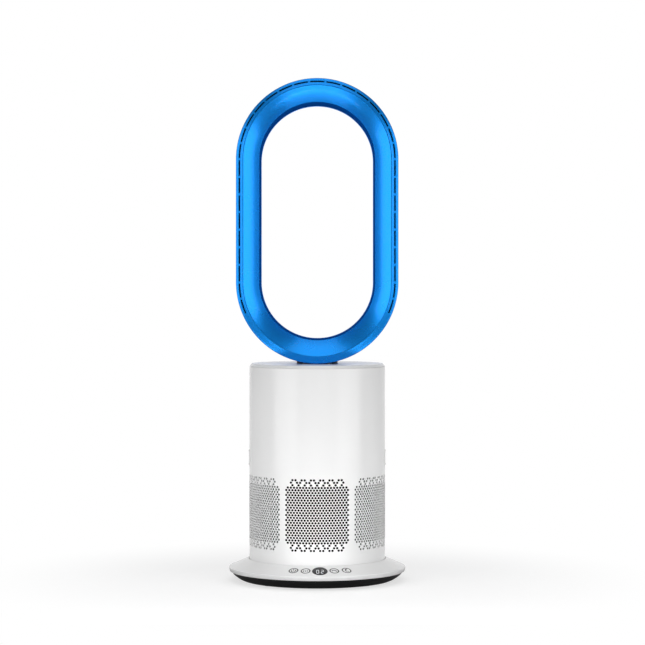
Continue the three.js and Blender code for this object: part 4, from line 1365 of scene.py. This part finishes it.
    def build_cap(self) -> None:
        """The cap: a chamfered rim, a flat top and the collar that holds the loop's neck."""
        chamfer_in, chamfer_high = self.cap_chamfer
        low, under = self.top - chamfer_high, self.top - self.wall
        inside = self.radius - self.wall - self.cap_clear
        outline = [
            (self.collar_r, self.collar_low),
            (self.collar_r + self.wall, self.collar_low),
            (self.collar_r + self.wall, under),
            (inside - self.wall, under),
            (inside - self.wall, low - self.cap_skirt),
            (inside, low - self.cap_skirt),
            (inside, low),
            (self.radius, low),
            (self.radius - chamfer_in, self.top),
            (self.collar_r, self.top),
        ]
        cap = revolve(rounded(outline, [0, 0, 0, 0, 0, 0, 0, 0.5, 1.2, 0.4], 4), 240)
        place(cap, "column_cap", Body.COLUMN, Slot.WHITE, self.paints.white, "top_cap")

    def button(self) -> Surface:
        """A release button facing +X.

        Rings of one rounded rectangle shrink towards the middle. Each has its own height over the column: up
        the side, over the rim's raised band, down into the dish and out to the middle.

        Returns:
            The closed surface.
        """
        inset = np.array([0, 0, 0, 0.25, 0.8, 2.4, 3.2, 4.2, 6.0, 9.0, 12.0, 14.0])
        height = np.array([-self.button_back, -5, 0.7, 1.15, 1.4, 1.4, 1.05, 0.2, 0, -0.1, -0.15, -0.15])
        count, rows = self.button_sides, len(inset)
        line = np.linspace(-1, 1, count // 4 + 1)
        shrink = np.clip(inset, 0, self.button_half[1] - GAP)
        halves = np.array(self.button_half) - shrink[:, None]
        corners = np.maximum(self.button_round - shrink, 0.2)
        edge = perimeter(line, line)
        flat = np.stack([round_off(edge * half, tuple(half), r) for half, r in zip(halves, corners)])
        x = np.sqrt(self.radius**2 - flat[..., 0] ** 2) + height[:, None]
        x[0] = self.radius - self.button_back
        points = np.stack([x, flat[..., 0], flat[..., 1] + self.button_z], -1).reshape(-1, 3)
        sides = grid_quads(rows, count, close_columns=True)[:, ::-1]
        caps = [np.arange(count)[None, ::-1], (rows - 1) * count + np.arange(count)[None]]
        return Surface(points, [sides, *caps])

    def build_buttons(self) -> None:
        """The two release buttons, the left one turned half round."""
        right = self.button()
        left = right.moved(lambda p: p * [-1, -1, 1])
        pairs = ((right, "right", Body.BUTTON_RIGHT), (left, "left", Body.BUTTON_LEFT))
        for surface, side, body in pairs:
            name, node = f"side_button_{side}", f"release_button_{side}"
            place(surface, name, body, Slot.WHITE, self.paints.white, node)


# ---------------------------------------------------------------- loop
@dataclass
class Loop:
    """The hollow loop that the air leaves by: front and rear shells, throat ring and neck.

    A section is given as (inset from the outer edge, y), and carried round a path of two straight sides and
    two half circles.
    """

    paints: Paints
    half_wide: float = 152.5
    straight: float = 115.6
    middle_z: float = 680.0
    deep: float = 120.0
    wall: float = 2.5
    edge_round: float = 3.0
    inner_round: float = 0.5
    edge_turn: float = 255.0
    side_steps: tuple[float, ...] = (12.0, 30.0, 53.0)
    band: float = 13.7
    band_lean: float = 3.4
    band_step: float = 1.6
    throat_in: float = 43.4
    bevel_deep: float = 22.0
    swell: float = 1.6
    back_in: float = 45.6
    back_round: float = 10.0
    back_lip: float = 10.5
    slit: float = 2.5
    throat_share: float = 0.6
    throat_swell: float = 0.5
    throat_lap: float = 3.4
    dash_in: float = 6.7
    dash_wide: float = 2.6
    dash_gap: float = 4.2
    dashes_round: int = 15
    dashes_straight: int = 7
    dashes_below: int = 2
    shade_backing_past: float = 0.8
    neck_r: float = 38.9
    neck_wall: float = 5.0
    neck_low: float = 374.0
    neck_steps: tuple[float, ...] = (405.0, 410.6, 500.0)
    lug_from: float = 29.6
    lug_low: float = 410.2

    def stations(self) -> tuple[np.ndarray, np.ndarray, np.ndarray]:
        """The loop's path, from the right side's foot anticlockwise, and where it is slotted.

        Along a straight side only the lift changes, and round an arc only the angle. Each slot and the gap
        after it share one step of the pattern, cut so that a station stands at each end of the slot.

        Returns:
            Each station's lift and angle, and whether the stretch after it is slotted.
        """
        step = 180 / self.dashes_round
        share = self.dash_gap / (np.radians(step) * (self.half_wide - self.dash_in)) / 2
        arc_cut = np.r_[0, np.linspace(share, 1 - share, 9)]
        arc_open = np.r_[False, np.ones(8, bool), False]
        turn = (np.arange(self.dashes_round)[:, None] + arc_cut).reshape(-1) * step
        long = 2 * self.straight / self.dashes_straight
        end = self.dash_gap / long / 2
        run_cut = np.r_[0, np.linspace(end, 1 - end, 4)]
        run_open = np.r_[False, np.ones(3, bool), False]
        run = (np.arange(self.dashes_straight)[:, None] + run_cut).reshape(-1) * long - self.straight
        below = np.zeros(self.dashes_round, bool)
        below[: self.dashes_below] = True
        below[-self.dashes_below :] = True
        top, foot = np.full(len(turn), self.straight), np.full(len(turn), -self.straight)
        lift = np.r_[run, top, -run, foot]
        angle = np.r_[np.zeros(len(run)), turn, np.full(len(run), 180.0), 180 + turn]
        slotted = np.r_[
            np.tile(run_open, self.dashes_straight),
            np.tile(arc_open, self.dashes_round),
            np.tile(run_open, self.dashes_straight),
            (below[:, None] & arc_open).reshape(-1),
        ]
        return lift, angle, slotted

    def carried(self, section: np.ndarray) -> np.ndarray:
        """A section carried round the path.

        A point is (reach cos a, y, middle + lift + reach sin a), where reach is the half width less the
        inset.

        Args:
            section: the section's points.

        Returns:
            The points, station after station.
        """
        lift, angle, _ = self.stations()
        a = np.radians(angle)[:, None]
        reach = self.half_wide - section[None, :, 0]
        x, z = reach * np.cos(a), self.middle_z + lift[:, None] + reach * np.sin(a)
        return np.stack([x, section[None, :, 1] + 0 * x, z], -1).reshape(-1, 3)

    def ring(self, section: np.ndarray) -> Surface:
        """A closed section carried all the way round.

        Args:
            section: the section's points in order.

        Returns:
            The closed surface.
        """
        rows, columns = len(self.stations()[0]), len(section)
        quads = grid_quads(rows, columns, close_rows=True, close_columns=True)
        return Surface(self.carried(section), [quads])

    def build(self) -> None:
        """Makes every piece of the loop."""
        self.build_front()
        self.build_shade_backing()
        self.build_throat()
        self.build_rear()
        self.build_neck()

    def build_front(self) -> None:
        """The front shell: side wall, flat band with its slots, and the bevel that runs down to the throat.

        The band leans back evenly towards its outer edge. The bevel swells: it stands before the straight
        line by the swell times the sine of its share across.
        """
        front, w = -self.deep / 2, self.wall
        half = self.dash_wide / 2
        edge_y = front + self.edge_round + self.band_lean * (1 - self.edge_round / self.band)
        side = np.array([(0, -GAP / 2), *((0, -step) for step in self.side_steps)])
        edge, inner_edge = (
            arc(self.edge_round, edge_y, radius, 180, self.edge_turn, 6)
            for radius in (self.edge_round, self.inner_round)
        )
        inset = np.array([self.dash_in - half, self.dash_in + half, self.band - self.band_step])
        band = np.stack([inset, front + self.band_lean * (1 - inset / self.band)], -1)
        across = np.linspace(0, 1, 13)
        rise = self.throat_in - self.band
        fall = self.bevel_deep * across - self.swell * np.sin(np.pi * across)
        bevel = np.stack([self.band + rise * across, front + fall], -1)
        bevel[0] += [0.25, 0.05]
        bend = np.arctan2(self.bevel_deep, rise)
        lean = w * np.array([-np.sin(bend), np.cos(bend)])
        crease, inner_crease = [[self.band - 0.5, front + 0.03]], [[self.band - 1.0, front + w + 0.05]]
        outer = np.vstack([side, edge, band, crease, bevel])
        inner = np.vstack([side + [w, 0], inner_edge, band + [0, w], inner_crease, bevel + lean])
        lift, _, slotted = self.stations()
        rows, columns = len(lift), len(outer)
        cells = grid_quads(rows, columns, close_rows=True).reshape(rows, columns - 1, 4)
        kept = np.ones(cells.shape[:2], bool)
        kept[slotted, len(side) + len(edge)] = False
        shell = walled(self.carried(outer), self.carried(inner), [cells[kept]])
        place(shell, "loop_front", Body.COLUMN, Slot.BLUE, self.paints.blue, "loop_front_shell")

    def build_shade_backing(self) -> None:
        """A thin matt black ring behind the loop's slots: painted shade that makes them read dark."""
        past = self.dash_wide / 2 + self.shade_backing_past
        low, high = self.dash_in - past, self.dash_in + past
        near = -self.deep / 2 + self.wall + self.band_lean + GAP
        far = near + self.shade_backing_past
        backing = self.ring(np.array([(low, near), (high, near), (high, far), (low, far)]))
        place(backing, "painted_shade_backing", Body.COLUMN, Slot.BLACK, self.paints.shade_sheet)

    def build_throat(self) -> None:
        """The throat ring: its face swells a little towards the opening, like the back of a wing.

        The face's inset grows evenly with depth, plus the swell times the sine of its share of the depth.
        """
        front = -self.deep / 2 + self.bevel_deep + GAP
        back = self.deep / 2 - self.back_lip - self.slit
        share = np.linspace(0, 1, 13)
        rise = self.throat_share * (self.back_in - self.throat_in)
        inset = self.throat_in + rise * share + self.throat_swell * np.sin(np.pi * share)
        face = np.stack([inset, front + (back - front) * share], -1)
        behind = self.throat_in - self.wall
        ring = self.ring(np.vstack([face, [[behind + rise, back], [behind, front + self.throat_lap]]]))
        place(ring, "throat_ring", Body.COLUMN, Slot.DEEP_BLUE, self.paints.deep_blue, "loop_throat_ring")

    def build_rear(self) -> None:
        """The rear shell: a side wall, a round back edge, a flat back and the lip round the air slit."""
        back, w, q = self.deep / 2, self.wall, self.back_round
        lip = back - self.back_lip
        corners = [
            (w, GAP / 2),
            (w, back - w),
            (self.back_in - w, back - w),
            (self.back_in - w, lip),
            (self.back_in, lip),
            (self.back_in, back),
            (0, back),
            (0, GAP / 2),
        ]
        section = rounded(corners, [0, q - w, 0, 0.5, 0.6, 2.0, q, 0], 8)
        place(self.ring(section), "loop_back", Body.COLUMN, Slot.BLUE, self.paints.blue, "loop_rear_shell")

    def build_neck(self) -> None:
        """The neck tube: round, with its top cut to the loop's underside.

        Its top edge stands at the lower arc's centre less the square root of the arc's radius squared less x
        squared. In front and behind it is cut down into the cap, which leaves a lug at each side.
        """
        far, near = self.neck_r, self.neck_r - self.neck_wall
        outer = [(far, z) for z in (self.neck_low, *self.neck_steps)]
        tube = revolve(np.array([(near, self.neck_low), *outer, (near, self.neck_steps[-1])]), 120)
        x, z = np.abs(tube.points[:, 0]), tube.points[:, 2]
        under = self.middle_z - self.straight - np.sqrt((self.half_wide + GAP) ** 2 - x**2)
        tube.points[:, 2] = np.minimum(z, np.where(x < self.lug_from, self.lug_low, under))
        place(tube, "neck_tube", Body.COLUMN, Slot.NAVY, self.paints.navy, "loop_neck")


# ---------------------------------------------------------------- what the frame keeps
def dress_nodes(paints: Paints) -> None:
    """Gives every node that is still shown its slot's finish."""
    slots = {part["node"]: Slot(part["material_slot"]) for part in frame["record"]["subparts"]}
    for name, node in frame["nodes"].items():
        if node.hide_render:
            continue
        node.data.materials.clear()
        node.data.materials.append(paints.for_slot(slots[name]))
        LOG.info("%s: keeps its shape, %s", name, slots[name].value)


# ---------------------------------------------------------------- studio
@dataclass(frozen=True)
class Lamp:
    """A rectangular soft lamp: place and aim in millimetres, size in metres and power in watts."""

    name: str
    at: tuple[float, float, float]
    size: tuple[float, float]
    power: float
    aim: tuple[float, float, float] = (0, 0, 450)

    def build(self) -> None:
        """Makes the lamp, unseen by the camera."""
        data = bpy.data.lights.new(self.name, "AREA")
        data.shape = "RECTANGLE"
        data.size, data.size_y = self.size
        data.energy = self.power
        lamp = bpy.data.objects.new(self.name, data)
        bpy.context.scene.collection.objects.link(lamp)
        start = Vector(self.at) * MM
        lamp.location = start
        lamp.rotation_euler = (Vector(self.aim) * MM - start).to_track_quat("-Z", "Y").to_euler()
        lamp.visible_camera = False


# The side lamps draw the bright stripes down the loop's sides, the top and low ones those on its arcs, and
# the base one lights the rim. The back ones keep the rear from going dark.
LAMPS = (
    Lamp("lamp_right", (1618, -1176, 650), (1.5, 1.7), 13.5),
    Lamp("lamp_left", (-1618, -1176, 650), (1.5, 1.7), 13.5),
    Lamp("lamp_back_right", (1700, 1900, 1500), (1.4, 2.0), 2.0),
    Lamp("lamp_back_left", (-1700, 1900, 1500), (1.4, 2.0), 2.0),
    Lamp("lamp_top", (0, -1100, 2500), (1.6, 1.9), 9.5),
    Lamp("lamp_base", (0, -560, 30), (1.3, 0.06), 1.2, (0, 0, 20)),
    Lamp("lamp_low", (0, -670, 20), (0.9, 0.9), 2.2, (0, -670, 1000)),
)


@dataclass
class Studio:
    """The camera, the world, the floor and the soft lamps.

    The camera's values are read off the photograph's perspective: it is level, and its horizon is a row of
    the frame. The light's strengths are those of the world from all round and, on top, from above.
    """

    camera_at: tuple[float, float, float] = (10.0, -4370.0, 569.0)
    focal_px: float = 2300.0
    frame_px: float = 645.0
    horizon_px: float = 280.0
    sensor_mm: float = 36.0
    ambient: float = 0.13
    from_above: float = 0.3
    room: float = 0.2
    backdrop_from: float = 0.7
    backdrop_full: float = 0.95
    floor_reach: float = 9000.0
    floor_shade: str = "#B4B4B4"
    floor_lift: float = 0.64
    shadow_to: float = 0.25
    white_from: float = 0.7
    gloss_from: float = 0.3

    def build(self) -> None:
        """Sets up the whole studio."""
        bpy.context.scene.view_settings.view_transform = "Standard"
        self.build_camera()
        self.build_world()
        self.build_floor()
        for lamp in LAMPS:
            lamp.build()

    def build_camera(self) -> None:
        """A level camera at the photograph's distance, height and angle of view."""
        data = bpy.data.cameras.new("camera")
        data.sensor_width = self.sensor_mm
        data.lens = self.focal_px / self.frame_px * self.sensor_mm
        data.shift_y = (self.horizon_px - self.frame_px / 2) / self.frame_px
        camera = bpy.data.objects.new("camera", data)
        camera.location = np.array(self.camera_at) * MM
        camera.rotation_euler = (np.pi / 2, 0, 0)
        bpy.context.scene.collection.objects.link(camera)
        bpy.context.scene.camera = camera

    def build_world(self) -> None:
        """A sky for the light, and another that the camera, gloss and glass look at.

        The light is even all round, and stronger from above and weaker from below by the height of the way
        it comes. The seen sky is white for the camera and glass. Gloss sees the white backdrop behind the
        object and a dimmer room in front of it.
        """
        world = bpy.data.worlds.new("studio")
        world.use_nodes = True
        tree = world.node_tree
        tree.nodes.clear()
        way = add_node(tree, "ShaderNodeTexCoord").outputs["Generated"]
        split = add_node(tree, "ShaderNodeSeparateXYZ", {0: way}).outputs
        above = self.math(tree, "MULTIPLY", split["Z"], self.from_above)
        strength = self.math(tree, "MAXIMUM", self.math(tree, "ADD", above, self.ambient), 0.0)
        light = add_node(tree, "ShaderNodeBackground", {"Color": linear("#FFFFFF"), "Strength": strength})
        room = add_node(
            tree,
            "ShaderNodeMapRange",
            {
                "Value": split["Y"],
                "From Min": self.backdrop_from,
                "From Max": self.backdrop_full,
                "To Min": self.room,
                "To Max": 1.0,
            },
            interpolation_type="SMOOTHSTEP",
        )
        clear = self.rays(tree, "Is Camera Ray", "Is Transmission Ray")
        seen = self.math(tree, "MAXIMUM", room.outputs["Result"], clear)
        white = add_node(tree, "ShaderNodeBackground", {"Color": linear("#FFFFFF"), "Strength": seen})
        looked_at = self.rays(tree, "Is Camera Ray", "Is Transmission Ray", "Is Glossy Ray")
        mixed = add_node(
            tree,
            "ShaderNodeMixShader",
            {0: looked_at, 1: light.outputs["Background"], 2: white.outputs["Background"]},
        )
        add_node(tree, "ShaderNodeOutputWorld", {"Surface": mixed.outputs["Shader"]})
        bpy.context.scene.world = world

    def math(
        self,
        tree: bpy.types.NodeTree,
        operation: str,
        first: bpy.types.NodeSocket | float,
        second: bpy.types.NodeSocket | float,
    ) -> bpy.types.NodeSocket:
        """The result of one sum on two values or sockets."""
        return add_node(tree, "ShaderNodeMath", {0: first, 1: second}, operation=operation).outputs[0]

    def rays(self, tree: bpy.types.NodeTree, *kinds: str) -> bpy.types.NodeSocket:
        """One for rays of any of these kinds, and zero for the rest.

        Args:
            tree: the node tree.
            kinds: the Light Path outputs.

        Returns:
            The largest of the outputs.
        """
        path = add_node(tree, "ShaderNodeLightPath").outputs
        most = path[kinds[0]]
        for kind in kinds[1:]:
            most = self.math(tree, "MAXIMUM", most, path[kind])
        return most

    def build_floor(self) -> None:
        """A pale floor that keeps the object's shadow near it and turns white farther away."""
        line = np.linspace(-self.floor_reach, self.floor_reach, 3)
        x, y = np.meshgrid(line, line, indexing="ij")
        points = np.stack([x, y, 0 * x], -1).reshape(-1, 3)
        floor = Surface(points, [grid_quads(3, 3)]).object("floor")
        made, tree = new_material("pale_floor")
        where = add_node(tree, "ShaderNodeTexCoord").outputs["Object"]
        away = add_node(tree, "ShaderNodeVectorMath", {0: where}, operation="LENGTH")
        far = add_node(
            tree,
            "ShaderNodeMapRange",
            {"Value": away.outputs["Value"], "From Min": self.shadow_to, "From Max": self.white_from},
            interpolation_type="SMOOTHSTEP",
        )
        seen = self.floor_seen(tree, where)
        share = self.math(tree, "MULTIPLY", far.outputs["Result"], seen)
        lift = self.math(tree, "MULTIPLY", seen, self.floor_lift)
        pale = add_node(tree, "ShaderNodeBsdfDiffuse", {"Color": linear(self.floor_shade)})
        glow = add_node(tree, "ShaderNodeEmission", {"Color": linear("#FFFFFF"), "Strength": lift})
        near = add_node(tree, "ShaderNodeAddShader", {0: pale.outputs["BSDF"], 1: glow.outputs["Emission"]})
        white = add_node(tree, "ShaderNodeEmission", {"Color": linear("#FFFFFF"), "Strength": 1.0})
        mixed = add_node(
            tree,
            "ShaderNodeMixShader",
            {0: share, 1: near.outputs["Shader"], 2: white.outputs["Emission"]},
        )
        add_node(tree, "ShaderNodeOutputMaterial", {"Surface": mixed.outputs["Shader"]})
        floor.data.materials.append(made)

    def floor_seen(self, tree: bpy.types.NodeTree, where: bpy.types.NodeSocket) -> bpy.types.NodeSocket:
        """One where the floor shows white: to the camera and glass all over, and to gloss behind the object.

        Args:
            tree: the floor's node tree.
            where: the Object coordinates.

        Returns:
            The socket.
        """
        split = add_node(tree, "ShaderNodeSeparateXYZ", {0: where})
        behind = add_node(
            tree,
            "ShaderNodeMapRange",
            {"Value": split.outputs["Y"], "From Min": 0.0, "From Max": self.gloss_from},
            interpolation_type="SMOOTHSTEP",
        )
        gloss = self.math(tree, "MULTIPLY", behind.outputs["Result"], self.rays(tree, "Is Glossy Ray"))
        return self.math(tree, "MAXIMUM", gloss, self.rays(tree, "Is Camera Ray", "Is Transmission Ray"))


def main() -> None:
    """Builds the studio and the fan, and reports each piece."""
    logging.basicConfig(level=logging.INFO, format="%(message)s")
    Studio().build()
    paints = Paints()
    flange = Flange()
    Base(paints, flange).build()
    Controls(paints, flange).build()
    Column(paints).build()
    Loop(paints).build()
    dress_nodes(paints)


if __name__ == "__main__":
    main()
